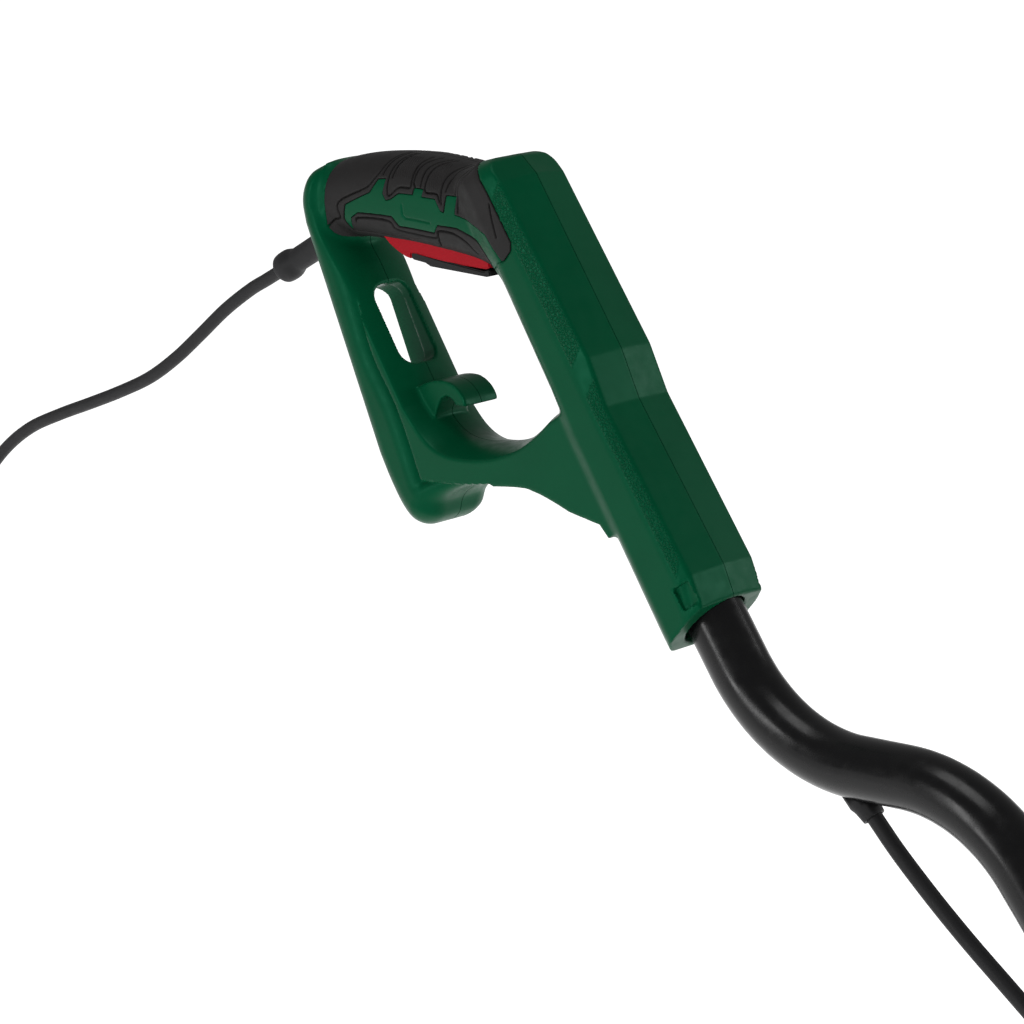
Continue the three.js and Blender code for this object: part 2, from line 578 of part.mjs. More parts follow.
function buildAuxiliaryHandle() {
  const collar = toSolid(ring(TUBE_RADIUS + GAP, 21, 52, 88, 28).rotateY(Math.PI / 2));
  const post = toSolid(box(56, 84, -13.5, 13.5, 18, 40)).intersect(
    toSolid(alongY(rod(14, -14, 14, 20), LOOP_PLACE, 0, LOOP_BOLT_HEIGHT)).add(toSolid(box(56, 84, -14, 14, 0, 34))));
  const bore = toSolid(alongY(rod(4 + GAP, -40, 40, 16), LOOP_PLACE, 0, LOOP_BOLT_HEIGHT));
  addPiece(shaft, 'handle_bracket', collar.add(post).subtract(bore), BLACK);
  let loop = toSolid(sweep(loopCurve(), disc(9), 26, 5));
  for (const side of [-1, 1]) {
    const knuckle = alongY(rod(14, side > 0 ? 14 : -26, side > 0 ? 26 : -14, 24), LOOP_PLACE, 0, LOOP_BOLT_HEIGHT);
    loop = loop.add(toSolid(knuckle));
  }
  const clearance = toSolid(box(40, 100, -14, 14, 10, 60))
    .add(toSolid(alongY(rod(8, -50, -26.1, 16), LOOP_PLACE, 0, LOOP_BOLT_HEIGHT)))
    .add(toSolid(alongY(rod(19.5, 26.1, 50, 20), LOOP_PLACE, 0, LOOP_BOLT_HEIGHT)));
  addPiece(shaft, 'auxiliary_handle', loop.subtract(clearance).subtract(bore), BLACK);
  const top = new THREE.CatmullRomCurve3([[-58, 124], [-44, 130], [-15, 133], [15, 133], [44, 130], [58, 124]]
    .map(([y, n]) => new THREE.Vector3(LOOP_PLACE, y, n)), false, 'centripetal');
  const grip = toSolid(sweep(top, disc(13), 10, 5)).subtract(toSolid(sweep(loopCurve(), disc(9 + GAP), 26, 5)));
  addPiece(shaft, 'auxiliary_grip', largest(grip), SOFT_BLACK);
  const bolt = turned([[0, -31], [6.5, -31], [6.5, -26.4], [4, -26.4], [4, 38], [0, 38]], 16);
  addPiece(shaft, 'handle_bolt', alongY(bolt, LOOP_PLACE, 0, LOOP_BOLT_HEIGHT), STEEL);
  const knobOutline = new THREE.Shape();
  const lobes = 5;
  for (let i = 0; i <= 40; i += 1) {
    const angle = (i / 40) * Math.PI * 2;
    const radius = 16 + 2.5 * Math.cos(lobes * angle);
    const step = i === 0 ? 'moveTo' : 'lineTo';
    knobOutline[step](radius * Math.cos(angle), radius * Math.sin(angle));
  }
  const knob = toSolid(upright(knobOutline, 26.4, 42)).subtract(toSolid(rod(4 + GAP, 20, 38.4, 16)));
  addPiece(shaft, 'handle_knob', alongY(toGeometry(knob), LOOP_PLACE, 0, LOOP_BOLT_HEIGHT), BLACK);
}

// ---- Head: yoke, pivot and tilt button ----
const YOKE_INNER = 24;
const YOKE_OUTER = 33;
const TILT_BUTTON_PLACE = 643;

function buildYoke() {
  const outline = new THREE.Shape();
  outline.moveTo(596, -19);
  outline.lineTo(600, -26);
  outline.lineTo(640, -24);
  outline.lineTo(PIVOT_ALONG_SHAFT, -16);
  outline.absarc(PIVOT_ALONG_SHAFT, 0, 16, -Math.PI / 2, Math.PI / 2, false);
  outline.lineTo(640, 20);
  outline.lineTo(596, 18);
  const block = toSolid(across(outline, -YOKE_OUTER, YOKE_OUTER, 10, { thickness: 6, size: 4 }));
  const throat = toSolid(box(640, 700, -YOKE_INNER, YOKE_INNER, -40, 40));
  const socket = toSolid(rod(LOWER_SHAFT_RADIUS + GAP, 580, 650, 28).rotateY(Math.PI / 2));
  const cableWay = toSolid(rod(CABLE_RADIUS + 0.6, 580, 650, 16).rotateY(Math.PI / 2).translate(0, 0, -18.6));
  const waist = toSolid(box(580, 632, -60, -21, -40, 40)).add(toSolid(box(580, 632, 21, 60, -40, 40)));
  const pinHole = toSolid(alongY(rod(4 + GAP, -50, 50, 16), PIVOT_ALONG_SHAFT, 0, 0));
  const buttonHole = toSolid(alongY(rod(6 + GAP, 15, 50, 20), TILT_BUTTON_PLACE, 0, 0));
  const yoke = block.subtract(throat).subtract(socket).subtract(cableWay).subtract(waist).subtract(pinHole)
    .subtract(buttonHole);
  addPiece(shaft, 'head_yoke', yoke, BLACK);
  addPiece(shaft, 'pivot_pin', alongY(turned([[0, -34.5], [6, -34.5], [6, -33.3], [4, -33.3], [4, 34], [0, 34]], 16),
    PIVOT_ALONG_SHAFT, 0, 0), STEEL);
  addPiece(shaft, 'tilt_button', alongY(rod(6, 24.6, 37, 20), TILT_BUTTON_PLACE, 0, 0), RED);
}

// ---- Head: motor ----
function motorBody() {
  const shell = turned([
    [0, -18.6], [24, -18.6], [34, -23], [42, -33], [HOUSING_RADIUS, -44], [HOUSING_RADIUS, -66], [53, -66],
    [53, -69.7], [HOUSING_RADIUS, -69.7], [HOUSING_RADIUS, -84], [0, -84],
  ].reverse(), 32);
  const knuckle = alongY(rod(17, -23.5, 23.5, 20), 0, 0, 0);
  const neck = box(-15, 15, -23.5, 23.5, -30, 0);
  const hollow = turned([
    [0, -24.5], [22, -24.5], [31, -27.5], [39, -35.5], [43, -45], [43, -76], [11.4, -76], [11.4, -83.4], [0, -83.4],
  ].reverse(), 24);
  let body = toSolid(shell).add(toSolid(knuckle)).add(toSolid(neck))
    .subtract(toSolid(hollow))
    .subtract(toSolid(rod(6, -100, -80, 20)))
    .subtract(toSolid(alongY(rod(4 + GAP, -40, 40, 16), 0, 0, 0)));
  const bearingSeat = toSolid(ring(11.3, 14, -33, -22, 24));
  body = body.add(bearingSeat);
  for (let i = 0; i < 10; i += 1) {
    const angle = (i / 10) * Math.PI * 2;
    const vent = box(38, 50, -1.7, 1.7, -62, -48).rotateZ(angle);
    body = body.subtract(toSolid(vent));
  }
  for (const side of [-1, 1]) {
    const [low, high] = side > 0 ? [40, 54] : [-54, -40];
    body = body.add(toSolid(alongY(rod(5, low, high, 16), 0, 0, WIRE_PIVOT_HEIGHT)));
  }
  body = body.subtract(toSolid(alongY(rod(WIRE_RADIUS + GAP, -60, 60, 12), 0, 0, WIRE_PIVOT_HEIGHT)));
  return body;
}

function buildMotor() {
  const body = motorBody();
  const places = [[-38, -56], [38, -56]];
  let drilled = body;
  places.forEach(([x, z], i) => {
    const post = toSolid(alongY(rod(4.5, -17, 17, 14), x, 0, z));
    const hole = toSolid(alongY(screwForm(GAP), x, 8, z));
    drilled = drilled.add(post.intersect(toSolid(rod(HOUSING_RADIUS - 1, -80, -30, 40)))).subtract(hole);
    addPiece(head, `motor_screw_${i + 1}`, alongY(screwForm(0), x, 8, z), STEEL);
  });
  for (const [name, side] of SIDES) {
    const half = drilled.intersect(halfSpace(side, GAP / 2));
    addPiece(head, `motor_housing_${name}`, largest(half), GREEN);
  }
  addPiece(head, 'stator', ring(22, 33, -64, -38, 20), COPPER);
  addPiece(head, 'rotor', ring(4 + GAP, 21, -63, -39, 20), STEEL);
  addPiece(head, 'motor_shaft', rod(4, -97, -26, 20), STEEL);
  addPiece(head, 'upper_bearing', ring(4 + GAP, 11, -32.5, -25, 16), STEEL);
  addPiece(head, 'lower_bearing', ring(4 + GAP, 11, -83, -76.3, 16), STEEL);
  let fan = toSolid(ring(4 + GAP, 36, -75, -73, 28));
  for (let i = 0; i < 8; i += 1) {
    fan = fan.add(toSolid(box(8, 35, -0.8, 0.8, -73.5, -67).rotateZ((i / 8) * Math.PI * 2)));
  }
  addPiece(head, 'fan', fan, BLACK);
}

// ---- Head: guard ----
function guardArc(inner, outer, from, to) {
  const shape = new THREE.Shape();
  shape.absarc(0, 0, outer, from, to, false);
  shape.absarc(0, 0, inner, to, from, true);
  return shape;
}

function buildGuard() {
  const from = THREE.MathUtils.degToRad(98);
  const to = THREE.MathUtils.degToRad(262);
  const plate = toSolid(upright(guardArc(HOUSING_RADIUS + GAP + 1, GUARD_RADIUS, from, to), -84, -81, 16));
  const skirt = toSolid(upright(guardArc(GUARD_RADIUS - 3, GUARD_RADIUS, from, to), -112, -83, 16));
  const collar = toSolid(ring(HOUSING_RADIUS + GAP, 53, -84, -70, 28));
  let guard = plate.add(skirt).add(collar);
  [120, 240].forEach((degrees, i) => {
    const angle = THREE.MathUtils.degToRad(degrees);
    const x = 49.7 * Math.cos(angle);
    const y = 49.7 * Math.sin(angle);
    guard = guard.subtract(toSolid(rod(1.6 + GAP, -90, -60, 12).translate(x, y, 0)));
    addPiece(head, `guard_screw_${i + 1}`, turned([[0, -86.6], [2.9, -86.6], [2.9, -84.3], [1.6, -84.3],
      [1.6, -70.2], [0, -70.2]], 12).translate(x, y, 0), STEEL);
  });
  for (const degrees of [130, 155, 205, 230]) {
    const rib = box(54, GUARD_RADIUS - 2, -1.2, 1.2, -81.5, -77).rotateZ(THREE.MathUtils.degToRad(degrees));
    guard = guard.add(toSolid(rib));
  }
  addPiece(head, 'guard', guard, BLACK);
  const blade = polygon([[0, 0], [18, 0], [18, 12], [6, 12], [0, 6]]);
  const cutter = new THREE.ExtrudeGeometry(blade, { depth: 1.2, bevelEnabled: false });
  cutter.rotateX(Math.PI / 2);
  cutter.translate(-9, 0, -110);
  cutter.rotateZ(THREE.MathUtils.degToRad(104 - 90));
  const middle = THREE.MathUtils.degToRad(104);
  cutter.translate((GUARD_RADIUS - 5.2) * Math.cos(middle), (GUARD_RADIUS - 5.2) * Math.sin(middle), 0);
  addPiece(head, 'line_cutter', cutter, STEEL);
}

function buildPlantGuard() {
  const half = [
    [0, -46.5, WIRE_PIVOT_HEIGHT], [0, -60, WIRE_PIVOT_HEIGHT], [2, -84, -63], [12, -114, -76], [44, -134, -84],
    [96, -124, -84], [140, -76, -84],
  ];
  const front = [158, 0, -84];
  const otherHalf = half.map(([x, y, z]) => [x, -y, z]).reverse();
  const points = [...half, front, ...otherHalf].map(([x, y, z]) => new THREE.Vector3(x, y, z));
  const curve = new THREE.CatmullRomCurve3(points, false, 'centripetal');
  addPiece(head, 'plant_guard', sweep(curve, disc(WIRE_RADIUS), 48, 3), STEEL);
}

// ---- Head: spool ----
function buildSpool() {
  const cup = turned([
    [4 + GAP, -86], [SPOOL_RADIUS, -86], [SPOOL_RADIUS, -121], [22, -121], [22, -118.5], [39.5, -118.5],
    [39.5, -89], [9, -89], [8, -93], [4 + GAP, -93],
  ].reverse(), 28);
  let housing = toSolid(cup);
  for (const side of [-1, 1]) {
    housing = housing.subtract(toSolid(aimed(rod(3.2, 30, 50, 12), new THREE.Vector3(0, 0, -105),
      new THREE.Vector3(side, 0, 0))));
  }
  addPiece(head, 'spool_housing', housing, BLACK);
  addPiece(head, 'line_spool', turned([
    [12, -94], [36, -94], [36, -96], [16, -96], [16, -114], [36, -114], [36, -116], [0, -116], [0, -104], [12, -104],
  ].reverse(), 28), BLACK);
  addPiece(head, 'wound_line', ring(16 + GAP, 31, -113.7, -96.3, 20), LINE);
  addPiece(head, 'bump_button', turned([
    [0, -116.3], [21.2, -116.3], [21.2, -124], [17, -129], [14, -130.5], [0, -130.5],
  ].reverse(), 28), BLACK);
  const wire = disc(0.6);
  const points = [];
  for (let i = 0; i <= 24; i += 1) {
    const angle = (i / 24) * 3 * Math.PI * 2;
    points.push(new THREE.Vector3(10.4 * Math.cos(angle), 10.4 * Math.sin(angle), -103 + (i / 24) * 12.6));
  }
  addPiece(head, 'spool_spring', sweep(new THREE.CatmullRomCurve3(points), wire, 30, 3), STEEL);
  for (const [i, side] of [[1, -1], [2, 1]]) {
    addPiece(head, `eyelet_${i}`, aimed(turned([[1.4, 37.8], [2.9, 37.8], [2.9, 42.3], [4, 42.3], [4, 43.3],
      [1.4, 43.3]], 14), new THREE.Vector3(0, 0, -105), new THREE.Vector3(side, 0, 0)), BRASS);
    const route = new THREE.CatmullRomCurve3([[34, 0, 0], [44, 0, 0], [75, 3, -0.6], [108, 9, -1.4],
      [CUT_RADIUS, 17, -2.5]].map(([x, y, z]) => new THREE.Vector3(side * x, side * y, z - 105)));
    addPiece(head, `cutting_line_${i}`, sweep(route, disc(0.8), 12, 4), LINE);
  }
}

// ---- Assembly ----
buildHousing();
buildSoftGrip();
buildTrigger();
buildSwitch();
buildMainsCord();
buildShaft();
buildLowerShaft();
buildClips();
buildAuxiliaryHandle();
buildYoke();
buildMotor();
buildGuard();
buildPlantGuard();
buildSpool();

export default tool;
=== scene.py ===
import json
import math

import bmesh
import bpy
import numpy as np
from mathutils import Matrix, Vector
from mathutils.geometry import delaunay_2d_cdt

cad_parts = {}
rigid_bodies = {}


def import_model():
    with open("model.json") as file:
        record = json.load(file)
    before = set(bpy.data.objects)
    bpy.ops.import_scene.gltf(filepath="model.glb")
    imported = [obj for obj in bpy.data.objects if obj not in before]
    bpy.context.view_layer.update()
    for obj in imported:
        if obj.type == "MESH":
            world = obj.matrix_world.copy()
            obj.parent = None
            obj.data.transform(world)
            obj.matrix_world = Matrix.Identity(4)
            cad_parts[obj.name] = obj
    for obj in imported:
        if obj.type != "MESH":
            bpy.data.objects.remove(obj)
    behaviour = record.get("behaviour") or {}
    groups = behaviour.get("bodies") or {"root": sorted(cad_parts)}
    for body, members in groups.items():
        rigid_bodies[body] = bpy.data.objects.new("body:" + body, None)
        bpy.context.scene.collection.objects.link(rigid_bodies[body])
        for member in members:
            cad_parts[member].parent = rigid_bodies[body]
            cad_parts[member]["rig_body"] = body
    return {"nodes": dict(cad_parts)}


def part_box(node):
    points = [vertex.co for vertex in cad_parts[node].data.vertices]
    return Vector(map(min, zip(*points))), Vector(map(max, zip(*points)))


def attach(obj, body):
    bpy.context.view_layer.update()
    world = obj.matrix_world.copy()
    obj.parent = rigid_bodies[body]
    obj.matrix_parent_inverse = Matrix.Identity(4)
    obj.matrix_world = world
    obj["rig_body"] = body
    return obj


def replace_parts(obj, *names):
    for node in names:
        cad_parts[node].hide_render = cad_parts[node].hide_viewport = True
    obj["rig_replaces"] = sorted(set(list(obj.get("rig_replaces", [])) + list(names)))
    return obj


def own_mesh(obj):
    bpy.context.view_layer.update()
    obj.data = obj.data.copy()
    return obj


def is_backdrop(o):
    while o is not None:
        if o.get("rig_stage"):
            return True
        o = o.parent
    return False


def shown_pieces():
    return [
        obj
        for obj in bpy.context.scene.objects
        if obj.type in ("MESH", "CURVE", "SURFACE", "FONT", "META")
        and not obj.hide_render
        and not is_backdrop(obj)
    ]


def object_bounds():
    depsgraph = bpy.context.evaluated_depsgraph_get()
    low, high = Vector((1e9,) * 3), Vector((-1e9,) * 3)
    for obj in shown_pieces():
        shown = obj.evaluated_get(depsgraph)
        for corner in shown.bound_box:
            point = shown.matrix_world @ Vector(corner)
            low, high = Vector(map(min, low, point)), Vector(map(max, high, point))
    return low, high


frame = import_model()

CAD_LOW, CAD_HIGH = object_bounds()
MM = 0.001

# The script works in millimetres in the part's frame. y = 0 is the plane where the housing halves meet.

# ---------------------------------------------------------------- handle: driving dimensions
SPINE_TOP = (87.7, 21.9)            # where the ridge line starts, (x, z)
SPINE_SLOPE = math.radians(52.5)    # how steeply the spine falls
SPINE_HALF = 25
SPINE_LENGTH = 220.5
END_SLANT = 0.24                    # the end face leans, so that the back reaches further
SHOULDER_HEIGHT = 21.8              # from the start of the ridge line to the top of the spine
SHOULDER_RADIUS = 13
CHAMFER = 3                         # the front chamfer's width across y
BACK_CHAMFER = (8, 9)               # across y, and in depth
# place along the spine, then the depths of ridge, front edge, side edge and back
SPINE_SECTIONS = np.array([
    (-22.5, -9, -10, -16, -33),
    (-15.9, -3.3, -6, -13, -34),
    (-4, 0, -3.6, -12, -34.5),
    (92, -1.5, -3.4, -13.6, -39.5),
    (117, -5.8, -7.5, -14.5, -42),
    (207, -4.8, -7, -14, -45),
    (222, -7.8, -10, -19, -45.5),
])
GRAIN_STRIPS = [(2, 93), (109, 206)]    # the leather-grained stretches of the chamfer, along the spine
RECESS = (208.5, 220)               # a shallow pocket in the chamfer's end, along the spine
RECESS_BAND = (-18.5, -9.5)         # between these depths below the ridge line
RECESS_ACROSS = 21.3                # and this far or more from the middle
RECESS_DEPTH = 2.2
TUBE_DEPTH = -25                    # the tube's axis below the ridge line
SOCKET_RADIUS = 16.8
SOCKET_DEPTH = -26.3                # the socket's middle, a little behind the tube's axis
SOCKET_START = 145

GRIP_HALF = 20
GRIP_POWER = 2.6                    # how square the grip's section is
GRIP_OVERRUN = 4                    # the grip runs on this far past its last section
GRIP_END_RADIUS = 9
# x, top and underside of the grip
GRIP_SECTIONS = [
    (-54, 11, -21),
    (-36, 18.3, -21.5),
    (-12, 22.8, -20.5),
    (14, 25.2, -20),
    (40, 24.8, -20.5),
    (60, 23, -22),
    (80, 18, -27),
]

FRAME_HALF = 22.8                   # side walls of the web and of the rail's inner part
BEAD_HALF = 24                      # the rounded bead along the rail's back and the lobe stands prouder
BEAD_SAG = 4                        # and it falls this much towards the side wall's edge
BEAD_FALL = 10                      # over this width
WALL_EDGE = 0.9                     # the step between the two is this wide
WALL_ROUNDING = 1.2
BEAD_RADII = (10, 15)               # its rounding along the rail, and at the lobe's bottom
LOBE_RANGE = (-128, -160)           # heights between which one turns into the other
# the side wall's edge along the bead and above the lobe, (x, z)
WALL_CURVES = [
    [(-52, 40)],
    [(-47.5, -9), (-40.5, -18.8), (-31, -30.8), (-23.8, -43.5), (-17.3, -58), (-7.3, -79.3), (9.8, -103.2),
     (26.5, -136.2)],
    [(41.6, -134.8), (58, -132.3), (76, -128.6)],
    [(110, -160)],
    [(200, -160)],
    [(200, 40)],
]
CROWN = 6.3                         # how far the opening's inner face bulges at the middle
# each row is one smooth curve, (x, z), and straight lines join the rows
OUTER_CURVES = [
    [(-48.5, 14), (-57, 9.5), (-62, 2), (-63.5, -7), (-61, -18)],
    [(-7, -129.5), (0, -143), (8, -155), (16, -161.5), (24, -161.5), (31, -156), (34, -147), (42, -140),
     (56, -134), (72, -130.3), (96, -126.2), (107, -126.5), (118, -128.6), (130, -131.8)],
    [(150, -134), (156, -139.5)],
    [(166, -130)],
    [(130, -85)],
    [(60, 10)],
]
OPENING_CURVES = [
    [(-47, 40)],
    [(-47, -6), (-40, -18), (-26, -35)],
    [(18, -97.5), (31, -109.5), (42, -114), (56, -114), (74, -110.5), (90, -104), (102, -95.5), (112, -86)],
    [(150, -60)],
    [(150, 40)],
]
HOOK_CURVES = [
    [(6, -97)],
    [(12, -93), (17.7, -89.4), (24.4, -86.8), (32.2, -85.6), (38, -86.5), (43, -89.3), (46, -92.6),
     (47.5, -96)],
    [(40.5, -96.6), (37.5, -94), (33.7, -93.2), (29.5, -95.6), (26.4, -102.4), (25, -109)],
    [(12, -109)],
]
HOOK_HALF = 11.5
WEB_FILLET = 2.5                    # where the frame meets the spine
GRIP_FILLET = 7                     # where the grip meets both
SLOT_PLACE = (-7, -63.5)
SLOT_TILT = math.radians(-61)
SLOT_HALF = (22.3, 12)
SLOT_CORNER = 8
SLOT_REACH = 25                     # the slot's cut ends this far in front of its middle
POCKET_HALF = (26, 18.5)
POCKET_DEPTH = 9
WALL = 2.8
SEAM = 0.2                          # half the gap between the housing halves

# The grip's pattern is drawn on its unrolled skin, in mm: x along it, and v round it from the middle
# of the side (0) to the top (33) or the underside (-33).
ROUND_TO_TOP = 33
REAR_EDGE = [
    (-32, -33), (-33.5, -26), (-35.5, -23), (-41, -17), (-44, -13), (-45.3, -1), (-44.7, 8.5),
    (-43.7, 17), (-42, 33),
]
FRONT_EDGE = [
    (66, -33), (70, -20), (84, -9), (88.2, -7.7), (92.5, -3.6), (92, 5.9), (86, 13.2), (78, 16.8),
    (71, 20.6), (60, 26), (54, 33),
]
GREEN_PANEL = [
    (-30, -3), (-12, 4), (-6.5, 11), (-1, 11.5), (-2.5, 4), (0, 0.5), (3.5, 1.5), (9, 5), (19, 5.5), (20, 9),
    (26.5, 9.3), (25.5, 5.3), (35, 5.8), (39, 0.5), (41.3, 0), (42.7, 9), (50, 9.8), (49, 0.5), (62.3, -0.3),
    (75, 0), (81, -4.3), (88, -9), (110, -12), (100, -45), (77, -22), (74, -13), (64.8, -8.4), (50, -6.4),
    (36.5, -7.5), (33.2, -12.1), (8, -12.3), (3.6, -7.6), (-21.3, -7.2), (-26.6, -10), (-29.4, -18.5),
    (-32.1, -10.6),
]
GRIP_GROOVES = [
    [(1, 30), (-3, 22), (-6, 15), (-9.5, 10.5), (-15, 6), (-34.5, -1.5), (-34.5, -9.5), (-39, -11),
     (-44, -13.5)],
    [(3, 29.5), (-1.5, 20), (-3.6, 13.3)],
    [(6.5, 29), (3.2, 21.4), (1.4, 14.6), (1, 7.8), (1.7, 3.3), (4, 4), (9.5, 8), (17, 8.6), (17.5, 12),
     (18, 20), (21, 27)],
    [(8.5, 29), (5, 20), (3.5, 12)],
    [(26.5, 27.8), (20.5, 20), (19.3, 12), (20.5, 9.6)],
    [(33, 28), (25.5, 20), (24.3, 12), (24.5, 10)],
    [(36.5, 28.5), (29.2, 20), (27.5, 12), (28.6, 8), (36, 8.4), (38.5, 5)],
    [(47, 27), (40.5, 18), (39, 11), (39.8, 4)],
    [(51, 26), (44, 17), (42, 10.5)],
    [(64, 23.5), (51.5, 15.5), (49, 10.5)],
    [(68, 21.5), (54, 14.5), (51.5, 8.5), (51.5, 2)],
    [(-23.7, -12), (-20.5, -9.7), (1, -9.9), (7, -14.3), (33, -14.5), (36.5, -10.4), (46.7, -9.3),
     (56, -11.7), (62, -16)],
    [(-27.5, -18), (-5, -18.6), (12, -19.5)],
    [(36.5, -10.4), (34.5, -19)],
    [(83, 1), (78, 12)],
]
GROOVE_WIDTH = 0.42
GROOVE_DEPTH = 1.3
RIBBED_PATCHES = [((4, 12), (17, 26)), ((29, 9.5), (39, 25))]     # (x, v) corners
RIB_PITCH = 1.5
RIB_HEIGHT = 0.16
SLIDE_MARK = [(11.4, -0.7), (11.8, -6), (13.7, -7.4), (31, -7.3)]
MARK_DEPTH = 0.5
MARK_WIDTH = 0.5
SKIN = 1.5                          # thickness of the soft skin
FIT = 0.1                           # play between the skin and the shell below it
PANEL_GAP = 0.15                    # each stands this far back from the line where skin and panel meet
PROUD = 0.45                        # it stands this far above the green plastic
SKIN_FLOOR = ((0, 60), (-22.8, -29))        # it reaches down to here: x, z

CORD_EXIT = (-101, -51)             # where the lead leaves its sleeve
CORD_DIRECTION = (-0.861, -0.509)   # and the way it points
CORD_HOLE = (6.9, 62)               # radius of the sleeve's hole in the housing, and how deep it goes
SCREW_HOLE = 4.3                    # radius of a screw's recess
TRIGGER_WINDOW = ((-13.2, 67.2), 12.8, (-40, -7))       # x range, half width, z range


# ---------------------------------------------------------------- distance functions
def curve_through(points, steps=6):
    """A smooth line through the points (Catmull-Rom)."""
    points = np.array(points, float)
    if len(points) < 3:
        return points
    ends = np.vstack([2 * points[0] - points[1], points, 2 * points[-1] - points[-2]])
    line = []
    for before, start, end, after in zip(ends, ends[1:], ends[2:], ends[3:]):
        for t in np.arange(steps) / steps:
            square = (2 * before - 5 * start + 4 * end - after) * t**2
            cube = (3 * start - before - 3 * end + after) * t**3
            line.append(0.5 * (2 * start + (end - before) * t + square + cube))
    return np.vstack([line, points[-1]])


def outline(curves):
    """A closed outline: each curve is smooth, and straight lines join them."""
    return np.vstack([curve_through(c) for c in curves])


def line_distance(points, x, z, closed=False):
    """Distance from a line of points in the plane."""
    points = np.asarray(points, float)
    starts, ends = (points, np.roll(points, -1, axis=0)) if closed else (points[:-1], points[1:])
    nearest = np.inf
    for (ax, az), (bx, bz) in zip(starts, ends):
        ex, ez = bx - ax, bz - az
        t = np.clip(((x - ax) * ex + (z - az) * ez) / (ex * ex + ez * ez), 0, 1)
        nearest = np.minimum(nearest, (x - ax - ex * t) ** 2 + (z - az - ez * t) ** 2)
    return np.sqrt(nearest)


def outline_distance(points, x, z):
    """Signed distance from a closed outline, negative inside."""
    points = np.asarray(points, float)
    inside = np.zeros(np.broadcast(x, z).shape, bool)
    for (ax, az), (bx, bz) in zip(points, np.roll(points, -1, axis=0)):
        if az != bz:
            inside ^= ((az > z) != (bz > z)) & (x < ax + (z - az) * (bx - ax) / (bz - az))
    return np.where(inside, -1, 1) * line_distance(points, x, z, closed=True)


def both(a, b, radius=0.0):
    """Where two solids overlap, with the corner rounded."""
    corner = np.hypot(np.maximum(a + radius, 0), np.maximum(b + radius, 0))
    return np.minimum(np.maximum(a, b), -radius) + corner


def joined(a, b, radius):
    """Two solids joined with a fillet."""
    return -both(-a, -b, radius)


def along_spine(x, z):
    """Place along the spine, and depth from its ridge line."""
    dx, dz = x - SPINE_TOP[0], z - SPINE_TOP[1]
    c, s = math.cos(SPINE_SLOPE), math.sin(SPINE_SLOPE)
    return dx * c - dz * s, dx * s + dz * c


def on_spine(along, depth):
    """The point (x, z) at a place along the spine and a depth from its ridge line."""
    c, s = math.cos(SPINE_SLOPE), math.sin(SPINE_SLOPE)
    return SPINE_TOP[0] + along * c + depth * s, SPINE_TOP[1] - along * s + depth * c


def spine(x, y, z):
    """The long body that holds the tube."""
    s, n = along_spine(x, z)
    places, *depths = SPINE_SECTIONS.T
    ridge, front, side, back = (np.interp(s, places, column) for column in depths)
    across = np.abs(y)
    rim = both(across - SPINE_HALF, -(s + SHOULDER_HEIGHT), SHOULDER_RADIUS)
    edge = SPINE_HALF - CHAMFER
    front_face = ((n - ridge) * edge + across * (ridge - front)) / np.hypot(edge, ridge - front)
    chamfer = ((n - front) * CHAMFER + (rim + CHAMFER) * (front - side)) / np.hypot(CHAMFER, front - side)
    w, h = BACK_CHAMFER
    back_chamfer = ((across - SPINE_HALF) * h - (n - back - h) * w) / math.hypot(w, h)
    body = both(both(front_face, chamfer, 1.0), rim, 0.9)
    body = both(body, both(back_chamfer, back - n, 2), 2)
    return both(body, s - SPINE_LENGTH + END_SLANT * n, 1.0)


GRIP_CURVE = curve_through(GRIP_SECTIONS, 8)
OUTER = outline(OUTER_CURVES)
SIDE_WALL = outline(WALL_CURVES)
OPENING = outline(OPENING_CURVES)
HOOK = outline(HOOK_CURVES)


def grip_section(x):
    """Height of the grip's middle, and half its height."""
    top = np.interp(x, GRIP_CURVE[:, 0], GRIP_CURVE[:, 1])
    under = np.interp(x, GRIP_CURVE[:, 0], GRIP_CURVE[:, 2])
    return (top + under) / 2, (top - under) / 2


def grip(x, y, z):
    middle, half = grip_section(x)
    across, up = np.abs(y) / GRIP_HALF, np.abs(z - middle) / half
    ring = (across ** GRIP_POWER + up ** GRIP_POWER) ** (1 / GRIP_POWER)
    ends = np.maximum(GRIP_SECTIONS[0][0] - x, x - GRIP_SECTIONS[-1][0] - GRIP_OVERRUN)
    return both((ring - 1) * np.minimum(GRIP_HALF, half), ends, GRIP_END_RADIUS)


def frame_part(x, y, z):
    """The rail, the lobe and the web round the finger opening."""
    across = np.abs(y)
    outer = outline_distance(OUTER, x, z)
    past_wall = outline_distance(SIDE_WALL, x, z)
    sag = BEAD_SAG * np.clip(1 - past_wall / BEAD_FALL, 0, 1) ** 2
    bead = np.clip(past_wall / WALL_EDGE + 0.5, 0, 1)
    half = FRAME_HALF + bead * (BEAD_HALF - sag - FRAME_HALF)
    radius = np.interp(-z, (-LOBE_RANGE[0], -LOBE_RANGE[1]), BEAD_RADII)
    body = both(outer, across - half, WALL_ROUNDING + bead * (radius - WALL_ROUNDING))
    opening = outline_distance(OPENING, x, z) - CROWN * (across / BEAD_HALF) ** 2
    return both(body, -opening, 1.0)


def rounded_box(a, b, half_a, half_b, corner):
    p, q = np.abs(a) - half_a + corner, np.abs(b) - half_b + corner
    return np.hypot(np.maximum(p, 0), np.maximum(q, 0)) + np.minimum(np.maximum(p, q), 0) - corner


